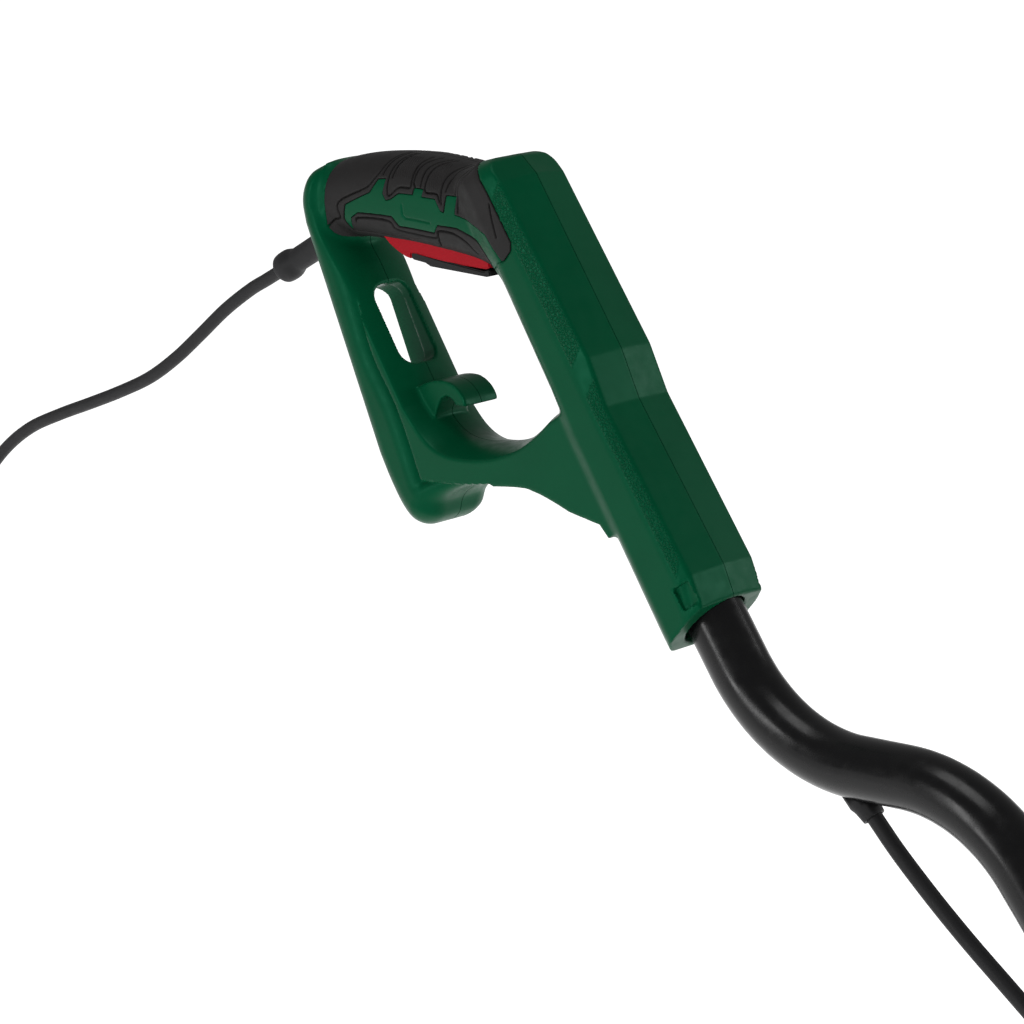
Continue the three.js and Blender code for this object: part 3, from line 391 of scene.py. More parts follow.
def slot(x, y, z):
    """The strap slot through the rail, and the wider pocket behind it."""
    c, s = math.cos(SLOT_TILT), math.sin(SLOT_TILT)
    dx, dz = x - SLOT_PLACE[0], z - SLOT_PLACE[1]
    u, v = dx * c + dz * s, -dx * s + dz * c
    pocket = both(rounded_box(u, y, *POCKET_HALF, SLOT_CORNER), v + POCKET_DEPTH, 2)
    return np.maximum(np.minimum(rounded_box(u, y, *SLOT_HALF, SLOT_CORNER), pocket), v - SLOT_REACH)


def hook(x, y, z):
    return both(outline_distance(HOOK, x, z), np.abs(y) - HOOK_HALF, 0.9)


def outside(x, y, z):
    """The handle's outer form, before it is hollowed and split."""
    body = joined(joined(spine(x, y, z), frame_part(x, y, z), WEB_FILLET), grip(x, y, z), GRIP_FILLET)
    return joined(both(body, -slot(x, y, z), 1.2), hook(x, y, z), 1.5)


def unrolled(x, y, z):
    """Distance round the grip's skin from the middle of its side."""
    middle, _ = grip_section(x)
    return np.degrees(np.arctan2(z - middle, np.abs(y))) * ROUND_TO_TOP / 90


class Drawing:
    """Distance from a line drawing on the unrolled grip, read from a fine raster."""
    LOW, HIGH, STEP = (-60, -36), (115, 36), 0.25

    def __init__(self, distance):
        self.x, self.v = (np.arange(a, b + self.STEP, self.STEP) for a, b in zip(self.LOW, self.HIGH))
        self.values = distance(self.x[:, None], self.v[None, :]).astype(np.float32)

    def __call__(self, x, v):
        i = np.clip((x - self.LOW[0]) / self.STEP, 0, len(self.x) - 1.001)
        j = np.clip((v - self.LOW[1]) / self.STEP, 0, len(self.v) - 1.001)
        a, b = i.astype(int), j.astype(int)
        s, t = i - a, j - b
        low = self.values[a, b] * (1 - s) + self.values[a + 1, b] * s
        high = self.values[a, b + 1] * (1 - s) + self.values[a + 1, b + 1] * s
        return low * (1 - t) + high * t


def soft_zone(x, v):
    """The skin's area on the unrolled grip, negative inside."""
    rear, front = np.array(REAR_EDGE, float), np.array(FRONT_EDGE, float)
    closed = np.vstack([rear, front[::-1]])
    stretched = closed + np.where(np.abs(closed[:, 1:]) == ROUND_TO_TOP, np.sign(closed[:, 1:]) * [0, 9], 0)
    return outline_distance(stretched, x, v)


def grooves(x, v):
    return np.minimum.reduce([line_distance(curve_through(g, 4), x, v) for g in GRIP_GROOVES])


zone_drawing = Drawing(soft_zone)


def zone(x, z, v):
    """Negative where the soft skin and its green panel lie, behind the spine's side edge."""
    s, n = along_spine(x, z)
    side = np.interp(s, SPINE_SECTIONS[:, 0], SPINE_SECTIONS[:, 3])
    floor = np.interp(x, *SKIN_FLOOR)
    return np.maximum(np.maximum(zone_drawing(x, v), floor - z), n - side)


panel_drawing = Drawing(lambda x, v: outline_distance(GREEN_PANEL, x, v))
groove_drawing = Drawing(grooves)
mark_drawing = Drawing(lambda x, v: line_distance(SLIDE_MARK, x, v))


def trigger_window(x, y, z):
    """The opening in the grip's underside that the trigger moves in."""
    (low, high), half, (bottom, top) = TRIGGER_WINDOW
    return np.maximum.reduce(np.broadcast_arrays(low - x, x - high, np.abs(y) - half, bottom - z, z - top))


def cord_hole(x, y, z):
    """Round the cord sleeve, along the line on which it leaves the rail."""
    px, pz = x - CORD_EXIT[0], z - CORD_EXIT[1]
    off = px * CORD_DIRECTION[1] - pz * CORD_DIRECTION[0]
    along = px * CORD_DIRECTION[0] + pz * CORD_DIRECTION[1]
    radius, depth = CORD_HOLE
    return np.maximum(np.hypot(off, y) - radius, -along - depth)


def housing(x, y, z, screws=()):
    """One half's solid, for both sides of the seam."""
    form = outside(x, y, z)
    v = unrolled(x, y, z)
    s, n = along_spine(x, z)
    socket = both(np.hypot(y, n - SOCKET_DEPTH) - SOCKET_RADIUS, SOCKET_START - s)
    hollow = np.maximum(np.minimum(grip(x, y, z), spine(x, y, z)) + WALL + 1, form + WALL)
    under_skin = np.maximum(zone(x, z, v), -(form + SKIN))
    cut = np.minimum(hollow, np.minimum(under_skin, trigger_window(x, y, z)))
    cut = np.minimum(cut, cord_hole(x, y, z))
    for place, depth in screws:
        cut = np.minimum(cut, np.maximum(np.hypot(x - place[0], z - place[1]) - SCREW_HOLE, depth - y))
    start, end = RECESS
    low, high = RECESS_BAND
    band = [start - s, s - end, RECESS_ACROSS - np.abs(y), low - n, n - high, -(form + RECESS_DEPTH)]
    cut = np.minimum(cut, np.maximum.reduce(np.broadcast_arrays(*band)))
    return both(np.maximum(form, -cut), -socket, 0.8)


def skin_relief(x, v):
    """Grooves and fine ribs of the soft skin, as height."""
    relief = -GROOVE_DEPTH * np.exp(-(groove_drawing(x, v) / GROOVE_WIDTH) ** 2)
    for (x0, v0), (x1, v1) in RIBBED_PATCHES:
        lean = x + 0.3 * v
        patch = np.clip(np.minimum(np.minimum(x - x0, x1 - x), np.minimum(v - v0, v1 - v)), 0, 1)
        relief = relief + patch * RIB_HEIGHT * np.sin(2 * math.pi * lean / RIB_PITCH)
    return relief


def soft_skin(x, y, z):
    v = unrolled(x, y, z)
    form = outside(x, y, z)
    edge = np.maximum(zone(x, z, v), -panel_drawing(x, v)) + PANEL_GAP
    body = both(form - PROUD - skin_relief(x, v), edge, 0.5)
    return np.maximum(np.maximum(body, -(form + SKIN - FIT)), -trigger_window(x, y, z))


def green_panel(x, y, z):
    v = unrolled(x, y, z)
    form = outside(x, y, z)
    mark = MARK_DEPTH * np.exp(-(mark_drawing(x, v) / MARK_WIDTH) ** 2)
    edge = np.maximum(zone(x, z, v) + 0.02, panel_drawing(x, v) + PANEL_GAP)
    body = both(form + mark, edge, 0.3)
    return np.maximum(np.maximum(body, -(form + SKIN - FIT)), -trigger_window(x, y, z))


# ---------------------------------------------------------------- meshes
def surface(distance, low, high, step):
    """Points (mm) and quads of the surface where distance is zero (surface nets)."""
    axes = [np.arange(a, b + step, step) for a, b in zip(low, high)]
    x, y, z = axes[0][:, None, None], axes[1][None, :, None], axes[2][None, None, :]
    shape = tuple(len(a) for a in axes)
    field = np.broadcast_to(distance(x, y, z), shape).astype(np.float32)
    inside = field < 0
    corners = [(i, j, k) for i in (0, 1) for j in (0, 1) for k in (0, 1)]
    nx, ny, nz = (n - 1 for n in shape)
    count = sum(inside[i:nx + i, j:ny + j, k:nz + k].astype(np.int8) for i, j, k in corners)
    cells = np.argwhere((count > 0) & (count < 8))
    number = np.full(count.shape, -1, np.int64)
    number[tuple(cells.T)] = np.arange(len(cells))
    total, hits = np.zeros((len(cells), 3)), np.zeros(len(cells))
    for corner in corners:
        for axis in range(3):
            if corner[axis]:
                continue
            unit = np.eye(3, dtype=int)[axis]
            a = field[tuple((cells + corner).T)].astype(float)
            b = field[tuple((cells + corner + unit).T)].astype(float)
            cut = (a < 0) != (b < 0)
            share = (a[cut] / (a[cut] - b[cut]))[:, None]
            total[cut] += np.array(corner) + share * unit
            hits[cut] += 1
    points = np.array(low) + step * (cells + total / hits[:, None])
    quads = []
    for axis in range(3):
        b, c = (axis + 1) % 3, (axis + 2) % 3
        first = np.take(inside, range(shape[axis] - 1), axis)
        second = np.take(inside, range(1, shape[axis]), axis)
        at = np.argwhere(first != second)
        at = at[(at[:, b] > 0) & (at[:, c] > 0) & (at[:, b] < shape[b] - 1) & (at[:, c] < shape[c] - 1)]
        eb, ec = np.eye(3, dtype=int)[b], np.eye(3, dtype=int)[c]
        quad = np.stack([number[tuple((at - eb - ec).T)], number[tuple((at - ec).T)], number[tuple(at.T)],
                         number[tuple((at - eb).T)]], axis=1)
        outward = first[tuple(at.T)]
        quads.append(np.where(outward[:, None], quad, quad[:, ::-1]))
    for _ in range(2):
        points = settled(distance, points, step)
    return points, np.vstack(quads)


def slope_of(distance, points, reach=0.05):
    """Gradient of distance at points."""
    return np.stack([
        (distance(*(points + reach * unit).T) - distance(*(points - reach * unit).T)) / (2 * reach)
        for unit in np.eye(3)
    ], axis=1)


def settled(distance, points, step):
    """Points moved onto the surface, by at most half a step."""
    slope = slope_of(distance, points)
    move = -slope * (distance(*points.T) / np.maximum((slope**2).sum(1), 0.2))[:, None]
    length = np.maximum(np.linalg.norm(move, axis=1), 1e-9)
    return points + move * np.minimum(1, 0.5 * step / length)[:, None]


def new_piece(name, points, faces, body, material, smooth_angle=None):
    """A mesh piece from points in mm, riding on its body."""
    mesh = bpy.data.meshes.new(name)
    mesh.from_pydata((np.asarray(points, float) * MM).tolist(), [], [list(map(int, f)) for f in faces])
    return finished(mesh, name, body, material, smooth_angle)


def finished(mesh, name, body, material, smooth_angle=None):
    mesh.update()
    mesh.polygons.foreach_set("use_smooth", [True] * len(mesh.polygons))
    if smooth_angle is not None:
        mesh.set_sharp_from_angle(angle=math.radians(smooth_angle))
    piece = bpy.data.objects.new(name, mesh)
    bpy.context.scene.collection.objects.link(piece)
    mesh.materials.clear()
    mesh.materials.append(material)
    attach(piece, body)
    return piece


def cut_at_seam(points, faces, side, distance):
    """Keeps the part of a mesh on one side of y = 0, and closes the cut."""
    bm = bmesh.new()
    verts = [bm.verts.new(p) for p in points * MM]
    for face in faces:
        bm.faces.new([verts[i] for i in face])
    bm.normal_update()
    geometry = bm.verts[:] + bm.edges[:] + bm.faces[:]
    cut = bmesh.ops.bisect_plane(bm, geom=geometry, plane_co=(0, side * SEAM * MM, 0),
                                 plane_no=(0, -side, 0), clear_outer=True)
    rim = [e for e in cut["geom_cut"] if isinstance(e, bmesh.types.BMEdge)]
    verts = list(dict.fromkeys(v for e in rim for v in e.verts))
    number = {v: i for i, v in enumerate(verts)}
    flat = [Vector((v.co.x, v.co.z)) / MM for v in verts]
    edges = [(number[e.verts[0]], number[e.verts[1]]) for e in rim]
    places, _, triangles, origins, _, _ = delaunay_2d_cdt(flat, edges, [], 1, 1e-5)
    places = np.array(places)
    for triangle in triangles:
        x, z = places[triangle].mean(axis=0)
        if distance(x, side * SEAM, z) < 0 and all(origins[i] for i in triangle):
            corners = [verts[origins[i][0]] for i in triangle]
            bm.faces.new(corners if side > 0 else corners[::-1])
    return bm


def extracted(name, distance, low, high, step, side, material):
    """One half's mesh from a distance function."""
    points, faces = surface(distance, low, high, step)
    bm = cut_at_seam(points, faces, side, distance)
    mesh = bpy.data.meshes.new(name)
    bm.to_mesh(mesh)
    bm.free()
    return finished(mesh, name, "handle", material, 40)


def section_circle(sides):
    turns = np.arange(sides) * 2 * math.pi / sides
    return np.cos(turns), np.sin(turns)


def turned(name, origin, direction, profile, body, material, sides=72, ring=False, smooth_angle=30):
    """A lathe piece. The profile is (along, radius) from the origin; a ring's profile closes on itself."""
    w = Vector(direction).normalized()
    u = w.orthogonal().normalized()
    if abs(w.y) < 0.5:
        u = Vector((0, 1, 0))
    v = w.cross(u)
    cos, sin = section_circle(sides)
    circle = cos[:, None] * np.array(u) + sin[:, None] * np.array(v)
    rows = [np.array(origin) + a * np.array(w) + r * circle for a, r in profile]
    points = np.vstack(rows)
    faces = []
    rings = len(profile)
    for i in range(rings if ring else rings - 1):
        j = (i + 1) % rings
        for k in range(sides):
            n = (k + 1) % sides
            faces.append((i * sides + k, j * sides + k, j * sides + n, i * sides + n))
    if not ring:
        faces += [tuple(range(sides)), tuple(range((rings - 1) * sides, rings * sides))[::-1]]
    piece = new_piece(name, points, faces, body, material)
    tidy(piece.data, smooth_angle)
    return piece


def tidy(mesh, smooth_angle):
    """Makes a closed mesh's faces look outwards, and shades it smooth up to the angle."""
    bm = bmesh.new()
    bm.from_mesh(mesh)
    bmesh.ops.recalc_face_normals(bm, faces=bm.faces)
    bm.to_mesh(mesh)
    bm.free()
    mesh.polygons.foreach_set("use_smooth", [True] * len(mesh.polygons))
    mesh.set_sharp_from_angle(angle=math.radians(smooth_angle))


def swept(name, path, radius, body, material, sides=48, bore=None):
    """A round tube or rod along a path in mm. A tube is open at its ends, with its bore inside."""
    path = np.array(path, float)
    tangents = np.gradient(path, axis=0)
    tangents /= np.linalg.norm(tangents, axis=1)[:, None]
    side = np.array((0.0, 1.0, 0.0))
    cos, sin = section_circle(sides)
    loops = []
    for radius_here, order in ((radius, slice(None)), (bore, slice(None, None, -1))):
        if radius_here is None:
            continue
        for point, tangent in list(zip(path, tangents))[order]:
            up = np.cross(tangent, side)
            up /= np.linalg.norm(up)
            out = np.cross(up, tangent)
            loops.append(point + radius_here * (cos[:, None] * out + sin[:, None] * up))
    count = len(loops)
    faces = []
    for i in range(count if bore else count - 1):
        j = (i + 1) % count
        for k in range(sides):
            n = (k + 1) % sides
            faces.append((i * sides + k, j * sides + k, j * sides + n, i * sides + n))
    if not bore:
        faces += [tuple(range(sides)), tuple(range((count - 1) * sides, count * sides))[::-1]]
    piece = new_piece(name, np.vstack(loops), faces, body, material)
    tidy(piece.data, 40)
    return piece


def prism(name, points, half, body, material, edge=0.8, steps=2):
    """An outline in (x, z), extruded to both sides of y = 0, with rounded edges."""
    points = np.asarray(points, float)
    count = len(points)
    ring = [(x, y, z) for y in (-half, half) for x, z in points]
    faces = [tuple(range(count)), tuple(range(count, 2 * count))[::-1]]
    faces += [(i, count + i, count + (i + 1) % count, (i + 1) % count) for i in range(count)]
    piece = new_piece(name, ring, faces, body, material)
    bevelled(piece.data, edge, steps, 25)
    return piece


def bevelled(mesh, width, steps, angle):
    """Rounds the edges sharper than the angle, and shades the mesh."""
    bm = bmesh.new()
    bm.from_mesh(mesh)
    bmesh.ops.remove_doubles(bm, verts=bm.verts, dist=1e-6)
    bmesh.ops.recalc_face_normals(bm, faces=bm.faces)
    bmesh.ops.dissolve_limit(bm, angle_limit=math.radians(0.6), verts=bm.verts, edges=bm.edges)
    sharp = [e for e in bm.edges if len(e.link_faces) == 2 and e.calc_face_angle(0) > math.radians(angle)]
    bmesh.ops.bevel(bm, geom=sharp, offset=width * MM, segments=steps, affect="EDGES", clamp_overlap=True)
    bmesh.ops.recalc_face_normals(bm, faces=bm.faces)
    bm.to_mesh(mesh)
    bm.free()
    mesh.polygons.foreach_set("use_smooth", [True] * len(mesh.polygons))
    mesh.set_sharp_from_angle(angle=math.radians(angle + 5))


def refined(node, body, material, edge=0.5, angle=32):
    """A CAD node's form with its seams welded and its edges rounded."""
    mesh = frame["nodes"][node].data.copy()
    mesh.name = node + "_skin"
    piece = finished(mesh, node + "_fine", body, material)
    bevelled(mesh, edge, 2, angle)
    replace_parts(piece, node)
    return piece


# ---------------------------------------------------------------- materials
COAT_ROUGHNESS = 0.15
PATCH_SIZE = 28                     # mm, of the patches in which a colour varies
SHINE_SIZE = 6                      # mm, of those in which its shine does
LEATHER_SCALE = 620                 # cells of the leather grain to a metre
LEATHER_BEND = 0.0016               # metres by which noise bends them
LEATHER_BEND_SCALE = 500
LEATHER_CREASE = 0.22               # share of a cell that its crease takes
LEATHER_DEPTH = 0.3 * MM


def colour(red, green, blue):
    """A display colour, 0 to 255, as the linear one that a shader takes."""
    return tuple(c / 12.92 if c <= 0.04045 else ((c + 0.055) / 1.055) ** 2.4
                 for c in (red / 255, green / 255, blue / 255)) + (1,)


def shader(name, base, roughness, grain=0.5, depth=0.02, mottle=0.12, spread=0.06, metallic=0.0,
           specular=0.5, coat=0.0, tint=(1, 1, 1), grain_attribute=False):
    """A moulded, painted or metal finish. grain is its texture's size in mm, and depth its height."""
    material = bpy.data.materials.new(name)
    material.use_nodes = True
    nodes, links = material.node_tree.nodes, material.node_tree.links
    surface_node = nodes["Principled BSDF"]
    surface_node.inputs["Metallic"].default_value = metallic
    surface_node.inputs["Specular IOR Level"].default_value = specular
    surface_node.inputs["Specular Tint"].default_value = (*tint, 1)
    surface_node.inputs["Coat Weight"].default_value = coat
    surface_node.inputs["Coat Roughness"].default_value = COAT_ROUGHNESS
    place = nodes.new("ShaderNodeTexCoord").outputs["Object"]

    def noise(size, detail):
        node = nodes.new("ShaderNodeTexNoise")
        node.inputs["Scale"].default_value = 1000 / size
        node.inputs["Detail"].default_value = detail
        links.new(place, node.inputs["Vector"])
        return node.outputs["Fac"]

    patches = noise(PATCH_SIZE, 3)
    shade = nodes.new("ShaderNodeMix")
    shade.data_type = "RGBA"
    dark = tuple(c * (1 - mottle) for c in base[:3]) + (1,)
    light = tuple(min(1, c * (1 + mottle)) for c in base[:3]) + (1,)
    shade.inputs["A"].default_value, shade.inputs["B"].default_value = dark, light
    links.new(patches, shade.inputs["Factor"])
    links.new(shade.outputs["Result"], surface_node.inputs["Base Color"])

    shine = nodes.new("ShaderNodeMapRange")
    shine.inputs["From Min"].default_value, shine.inputs["From Max"].default_value = 0.3, 0.7
    shine.inputs["To Min"].default_value = roughness - spread
    shine.inputs["To Max"].default_value = roughness + spread
    links.new(noise(SHINE_SIZE, 4), shine.inputs["Value"])
    links.new(shine.outputs["Result"], surface_node.inputs["Roughness"])

    bump = nodes.new("ShaderNodeBump")
    bump.inputs["Distance"].default_value = depth * MM
    links.new(noise(grain, 2), bump.inputs["Height"])
    links.new(bump.outputs["Normal"], surface_node.inputs["Normal"])
    if grain_attribute:
        leather_grain(nodes, links, place, bump)
    return material


def leather_grain(nodes, links, place, below):
    """Adds creased leather grain where the mesh attribute says."""
    mask = nodes.new("ShaderNodeAttribute")
    mask.attribute_name = "leather"
    bend = nodes.new("ShaderNodeTexNoise")
    bend.inputs["Scale"].default_value = LEATHER_BEND_SCALE
    links.new(place, bend.inputs["Vector"])
    shift = nodes.new("ShaderNodeVectorMath")
    shift.operation = "MULTIPLY_ADD"
    shift.inputs[1].default_value = (LEATHER_BEND, LEATHER_BEND, LEATHER_BEND)
    links.new(bend.outputs["Color"], shift.inputs[0])
    links.new(place, shift.inputs[2])
    cells = nodes.new("ShaderNodeTexVoronoi")
    cells.feature = "DISTANCE_TO_EDGE"
    cells.inputs["Scale"].default_value = LEATHER_SCALE
    links.new(shift.outputs["Vector"], cells.inputs["Vector"])
    crease = nodes.new("ShaderNodeMapRange")
    crease.inputs["From Max"].default_value = LEATHER_CREASE
    links.new(cells.outputs["Distance"], crease.inputs["Value"])
    masked = nodes.new("ShaderNodeMath")
    masked.operation = "MULTIPLY"
    links.new(crease.outputs["Result"], masked.inputs[0])
    links.new(mask.outputs["Fac"], masked.inputs[1])
    bump = nodes.new("ShaderNodeBump")
    bump.inputs["Distance"].default_value = LEATHER_DEPTH
    links.new(masked.outputs["Value"], bump.inputs["Height"])
    links.new(below.outputs["Normal"], bump.inputs["Normal"])
    links.new(bump.outputs["Normal"], nodes["Principled BSDF"].inputs["Normal"])


GREEN = shader("green_plastic", colour(0, 62, 37), 0.36, grain=0.45, depth=0.01, specular=0.14,
               tint=(0.15, 0.8, 0.5), grain_attribute=True)
CHARCOAL = shader("charcoal_skin", colour(31, 30, 30), 0.55, grain=0.7, depth=0.04, specular=0.12)
RED = shader("red_plastic", colour(148, 2, 20), 0.4, grain=0.5, depth=0.012, specular=0.1)
BLACK = shader("black_plastic", colour(26, 26, 27), 0.45, grain=0.5, depth=0.03, specular=0.15)
PAINT = shader("black_paint", colour(9, 9, 10), 0.25, grain=0.9, depth=0.008, specular=0.2, coat=0.03)
RUBBER = shader("black_rubber", colour(33, 33, 34), 0.5, grain=0.6, depth=0.02, specular=0.12)
STEEL = shader("steel", colour(150, 152, 155), 0.32, grain=0.3, depth=0.01, metallic=1.0, mottle=0.08)
COPPER = shader("copper_winding", colour(184, 104, 60), 0.35, grain=0.6, depth=0.08, metallic=1.0)
CREAM = shader("cream_plastic", colour(205, 198, 176), 0.5, grain=0.6, depth=0.02)
BRASS = shader("brass", colour(196, 160, 84), 0.3, grain=0.4, depth=0.01, metallic=1.0)
ORANGE = shader("orange_nylon", colour(226, 92, 20), 0.4, grain=0.4, depth=0.02)


# ---------------------------------------------------------------- camera, light and floor
CAMERA_PLACE = (1288.2, -1219.6, 346.2)
CAMERA_TARGET = (64.7, 3.9, -150.0)
CAMERA_SENSOR = 36
CAMERA_LENS = 126.56
WORLD_LIGHT = 0.3
FLOOR_LIGHT = 0.8
FLOOR_REACH = 150                   # metres, so that its edge is out of sight
FLOOR_GAP = 0.003                   # metres below the part


def make_camera():
    data = bpy.data.cameras.new("camera")
    data.sensor_width = CAMERA_SENSOR
    data.lens = CAMERA_LENS
    data.clip_end = 500
    camera = bpy.data.objects.new("camera", data)
    camera.location = Vector(CAMERA_PLACE) * MM
    look = Vector(CAMERA_TARGET) - Vector(CAMERA_PLACE)
    camera.rotation_euler = look.to_track_quat("-Z", "Y").to_euler()
    bpy.context.scene.collection.objects.link(camera)
    bpy.context.scene.camera = camera


def softbox(name, place, target, size, power):
    """A rectangular lamp, with its places and size in metres."""
    data = bpy.data.lights.new(name, "AREA")
    data.shape = "RECTANGLE"
    data.size, data.size_y = size
    data.energy = power
    lamp = bpy.data.objects.new(name, data)
    lamp.location = place
    lamp.rotation_euler = (Vector(target) - Vector(place)).to_track_quat("-Z", "Y").to_euler()
    bpy.context.scene.collection.objects.link(lamp)


def make_studio():
    scene = bpy.context.scene
    scene.view_settings.view_transform = "Standard"
    world = bpy.data.worlds.new("studio")
    world.use_nodes = True
    world.node_tree.nodes["Background"].inputs["Color"].default_value = (1, 1, 1, 1)
    world.node_tree.nodes["Background"].inputs["Strength"].default_value = WORLD_LIGHT
    scene.world = world
    softbox("left_box", (-0.4, -2.1, 0.15), (0.15, 0, -0.05), (0.3, 1.1), 13)
    softbox("top_box", (0, -0.6, 2.6), (0.1, 0, -0.1), (1.4, 1.4), 27)
    softbox("rear_box", (1.8, 1.75, 0.75), (0.2, 0, -0.06), (1.3, 0.6), 17)
    softbox("front_box", (2.2, -2.6, 0.3), (0.2, 0, -0.2), (1.0, 1.0), 8)
    low = CAD_LOW.z - FLOOR_GAP
    corners = [(-1, -1), (1, -1), (1, 1), (-1, 1)]
    mesh = bpy.data.meshes.new("floor")
    mesh.from_pydata([(FLOOR_REACH * x, FLOOR_REACH * y, low) for x, y in corners], [], [(0, 1, 2, 3)])
    floor = bpy.data.objects.new("floor", mesh)
    paper = bpy.data.materials.new("floor")
    paper.use_nodes = True
    matt = paper.node_tree.nodes["Principled BSDF"]
    matt.inputs["Base Color"].default_value = (0.95, 0.95, 0.95, 1)
    matt.inputs["Roughness"].default_value = 0.9
    matt.inputs["Emission Color"].default_value = (1, 1, 1, 1)
    matt.inputs["Emission Strength"].default_value = FLOOR_LIGHT
    mesh.materials.append(paper)
    scene.collection.objects.link(floor)
    floor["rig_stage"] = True


make_camera()
make_studio()

# ---------------------------------------------------------------- cords
CORD_RADIUS = 3.5
CORD_ROUTE = [
    (-101, -51), (-114, -58.4), (-127.5, -66), (-148, -80), (-169, -97), (-190, -113.5), (-213, -128.5),
    (-239, -141), (-266, -152.5), (-294, -164), (-322, -177), (-346, -193.5), (-366, -213.5), (-379, -235),
    (-386, -256), (-389.05, -277), (-391.6, -302.5),
]
CORD_INSIDE = [(-30, -9), (-43, -16.7), (-60, -26.8), (-80, -38.6), (-100.6, -50.8)]
CABLE_RADIUS = 4
SHAFT_START = (393.9, -250.4)
SHAFT_SLOPE = math.radians(48)


def on_shaft(along, off=0.0):
    """A point (x, z) by its place along the lower shaft and its distance above the axis."""
    c, s = math.cos(SHAFT_SLOPE), math.sin(SHAFT_SLOPE)
    return SHAFT_START[0] + along * c + off * s, SHAFT_START[1] - along * s + off * c


CABLE_IN_TUBE = [
    (152, -103), (160, -113.5), (185, -146), (208, -175.5), (222, -191), (237, -203.5), (250, -210.5),
    (263, -215.2), (275, -220.8), (286, -229.4), (297, -239.4), (308, -249.6),
]
# the rest of the cable by its place along the lower shaft and its distance from the axis
CABLE_ON_SHAFT = [
    (-41, -61.5), (-15, -57), (10, -51.5), (35, -45), (60, -38.5), (85, -32.5), (112, -28.6), (145, -28),
    (180, -27), (205, -22), (230, -18.4), (270, -18.2), (330, -18.2), (400, -18.2), (470, -18.2),
    (540, -18.2), (570, -18.4), (590, -19),
]


def at_middle(points):
    """Points (x, z) placed in the plane y = 0."""
    return [(x, 0, z) for x, z in points]


# (along, radius) from the sleeve's mouth inwards
SLEEVE_PROFILE = [
    (-0.3, 3.9), (0, 4.4), (-0.2, 5.6), (-1, 6.9), (-2.4, 7.9), (-4.5, 8.15), (-7.5, 8.2), (-9.5, 8.0),
    (-12, 7.2), (-13.8, 6.5), (-15.5, 6.35), (-30, 6.4), (-46, 6.6), (-49, 7.4), (-55.5, 7.4), (-56, 7),
    (-56, 3.9),
]
sleeve_mouth, sleeve_way = at_middle([CORD_EXIT, CORD_DIRECTION])
sleeve = turned("cord_sleeve_fine", sleeve_mouth, sleeve_way, SLEEVE_PROFILE, "handle",
                RUBBER, ring=True)
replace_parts(sleeve, "cord_sleeve")
plug = refined("mains_plug", "handle", RUBBER, edge=0.6)


def make_lead():
    """The free mains lead, from the sleeve to the plug."""
    line = curve_through(CORD_ROUTE, 6) * MM
    data = bpy.data.curves.new("mains_lead", "CURVE")
    data.dimensions = "3D"
    data.bevel_depth = CORD_RADIUS * MM
    data.bevel_resolution = 8
    spline = data.splines.new("POLY")
    spline.points.add(len(line) - 1)
    for point, (x, z) in zip(spline.points, line):
        point.co = (x, 0, z, 1)
    data.materials.append(RUBBER)
    lead = bpy.data.objects.new("mains_lead", data)
    bpy.context.scene.collection.objects.link(lead)
    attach(lead, "handle")
    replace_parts(lead, "mains_cord")


make_lead()
inside_line = at_middle(curve_through(CORD_INSIDE))
swept("mains_lead_inside", inside_line, CORD_RADIUS, "handle", RUBBER, 24)
cable_line = at_middle(curve_through(CABLE_IN_TUBE + [on_shaft(*p) for p in CABLE_ON_SHAFT], 8))
cable = swept("motor_cable_fine", cable_line, CABLE_RADIUS, "handle", RUBBER, 28)
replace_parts(cable, "motor_cable")


# ---------------------------------------------------------------- handle pieces
LOW = (-72, -28, -194)
HIGH = (236, 3, 36)
GRIP_LOW = (-52, -27.5, -40)
GRIP_HIGH = (97, 2, 34)
STEP = 1.0
FINE_STEP = 0.45
SCREWS = []
for number in range(1, 6):
    low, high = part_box(f"housing_screw_{number}")
    SCREWS.append((((low.x + high.x) / 2 / MM, (low.z + high.z) / 2 / MM), high.y / MM - 0.4))


def strip_mask(mesh):
    """Marks the chamfer's grained stretches."""
    co = np.empty(len(mesh.vertices) * 3)
    mesh.vertices.foreach_get("co", co)
    x, y, z = (co.reshape(-1, 3) / MM).T
    s, n = along_spine(x, z)
    front, side = (np.interp(s, SPINE_SECTIONS[:, 0], SPINE_SECTIONS[:, i]) for i in (2, 3))
    lean = 8 * (n - side) / (front - side)            # the strips end on a slant
    along = np.maximum.reduce([np.minimum(s - a + lean, b - s - lean) for a, b in GRAIN_STRIPS])
    across = np.minimum(n - side - 0.3, front - n - 0.2)
    inside = np.minimum(np.minimum(along, across), np.abs(y) - SPINE_HALF + CHAMFER + 1)
    mask = np.clip(inside / 0.8, 0, 1) * (spine(x, y, z) > -0.8)
    mesh.attributes.new("leather", "FLOAT", "POINT").data.foreach_set("value", mask.astype(np.float32))


def mirrored(low, high, side):
    """The right side's box, or the left side's."""
    if side < 0:
        return low, high
    return (low[0], -high[1], low[2]), (high[0], -low[1], high[2])


def make_half(side, hand):
    """One half of the housing with its green grip panel and its soft skin."""
    screws = SCREWS if side > 0 else []
    low, high = mirrored(LOW, HIGH, side)
    shell = extracted("housing_" + hand + "_fine", lambda x, y, z: housing(x, y, z, screws),
                      low, high, STEP, side, GREEN)
    strip_mask(shell.data)
    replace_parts(shell, "housing_" + hand)
    low, high = mirrored(GRIP_LOW, GRIP_HIGH, side)
    extracted("grip_panel_" + hand, green_panel, low, high, FINE_STEP, side, GREEN)
    skin = extracted("soft_grip_" + hand + "_fine", soft_skin, low, high, FINE_STEP, side,
                     CHARCOAL)
    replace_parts(skin, "soft_grip_" + hand)


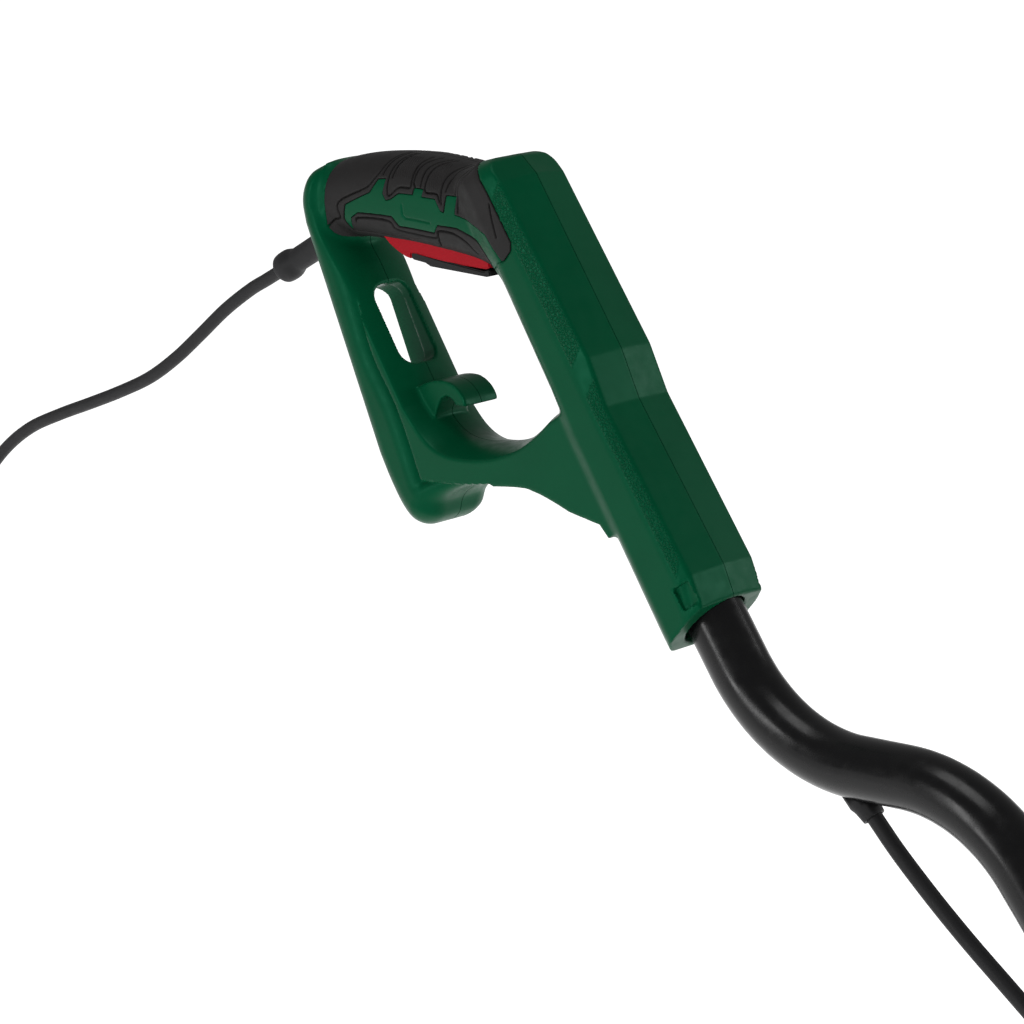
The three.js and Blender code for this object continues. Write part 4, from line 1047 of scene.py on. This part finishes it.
make_half(-1, "right")
make_half(1, "left")

# ---------------------------------------------------------------- trigger
TRIGGER = [
    (-11.5, -11.2), (-10.8, -9.9), (-3, -9.2), (30, -11.7), (63, -12.7), (65, -15), (65, -23), (62, -24.2),
    (34, -25.2), (9.8, -24.4), (9.2, -26.9), (5, -26.4), (-1, -24.2), (-6, -21.8), (-10.6, -18.6),
]
TRIGGER_HALF = 12
TRIGGER_PAD = [
    (9.6, -23.8), (13, -23), (32, -24.3), (61, -25.4), (65, -24.2), (66, -27), (63, -27.9),
    (23.5, -28.6), (19.5, -27.3), (10.4, -26.9),
]
TRIGGER_PAD_HALF = 12.4
lever = prism("trigger_fine", TRIGGER, TRIGGER_HALF, "trigger", RED)
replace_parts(lever, "trigger")
pad = prism("trigger_pad_fine", TRIGGER_PAD, TRIGGER_PAD_HALF, "trigger", BLACK, 0.6)
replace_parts(pad, "trigger_pad")


def spring(node):
    """A CAD spring with its edges rounded, on a mesh of its own."""
    piece = refined(node, frame["nodes"][node]["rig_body"], STEEL, edge=0.05, angle=80)
    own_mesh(piece)


spring("trigger_spring")
spring("spool_spring")

# ---------------------------------------------------------------- tube
TUBE_RADIUS = 15
TUBE_BORE = 13.5
TUBE_START = 150                    # where the tube begins, along the spine
TUBE_END = 140                      # and ends, along the lower shaft
FIRST_STRAIGHT = 100.7              # from there to the first bend
LEVEL_STRAIGHT = 28                 # between the bends
LEVEL_RISE = math.radians(5)        # how far that stretch turns past level
BEND_RADIUS = 85
BEND_STEPS = 24
STRAIGHT_STEP = 10
LOWER_START = 140.3                 # where the lower tube begins, along its own axis
LOWER_PROFILE = [(0, 11.5), (0, 12.7), (0.3, 13), (491.4, 13), (491.7, 12.7), (491.7, 11.5)]


def bent_tube_path():
    """Axis of the upper shaft: down the spine, level, and down again to the coupling."""
    heading = -SPINE_SLOPE
    path = [np.array(on_spine(TUBE_START, TUBE_DEPTH))]

    def straight(length):
        steps = max(2, int(length / STRAIGHT_STEP))
        for _ in range(steps):
            path.append(path[-1] + np.array((math.cos(heading), math.sin(heading))) * length / steps)

    def bend(turn):
        nonlocal heading
        for _ in range(BEND_STEPS):
            half = turn / BEND_STEPS / 2
            chord = 2 * BEND_RADIUS * math.sin(abs(half))
            heading += half
            path.append(path[-1] + chord * np.array((math.cos(heading), math.sin(heading))))
            heading += half

    straight(FIRST_STRAIGHT)
    bend(SPINE_SLOPE + LEVEL_RISE)
    straight(LEVEL_STRAIGHT)
    bend(-SHAFT_SLOPE - LEVEL_RISE)
    path.append(np.array(on_shaft(TUBE_END)))
    return path


tube_path = at_middle(bent_tube_path())
tube = swept("upper_shaft_fine", tube_path, TUBE_RADIUS, "handle", PAINT, 64, TUBE_BORE)
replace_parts(tube, "upper_shaft")
lower_start = at_middle([on_shaft(LOWER_START)])[0]
down_shaft = (math.cos(SHAFT_SLOPE), 0, -math.sin(SHAFT_SLOPE))
lower = turned("lower_shaft_fine", lower_start, down_shaft, LOWER_PROFILE, "handle", PAINT,
               ring=True)
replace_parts(lower, "lower_shaft")

# ---------------------------------------------------------------- the rest, from the CAD forms
FINISHES = {
    "green_plastic": GREEN, "soft_grip": CHARCOAL, "red_plastic": RED, "black_plastic": BLACK,
    "black_paint": PAINT, "black_rubber": RUBBER, "steel": STEEL, "copper_winding": COPPER,
    "cream_plastic": CREAM, "brass": BRASS, "orange_nylon": ORANGE,
}
shown = {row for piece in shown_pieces() for row in piece.get("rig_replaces", [])}
for node in sorted(set(frame["nodes"]) - shown):
    slot_name = frame["nodes"][node].data.materials[0].name.split(".")[0]
    refined(node, frame["nodes"][node]["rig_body"], FINISHES[slot_name])

low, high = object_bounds()
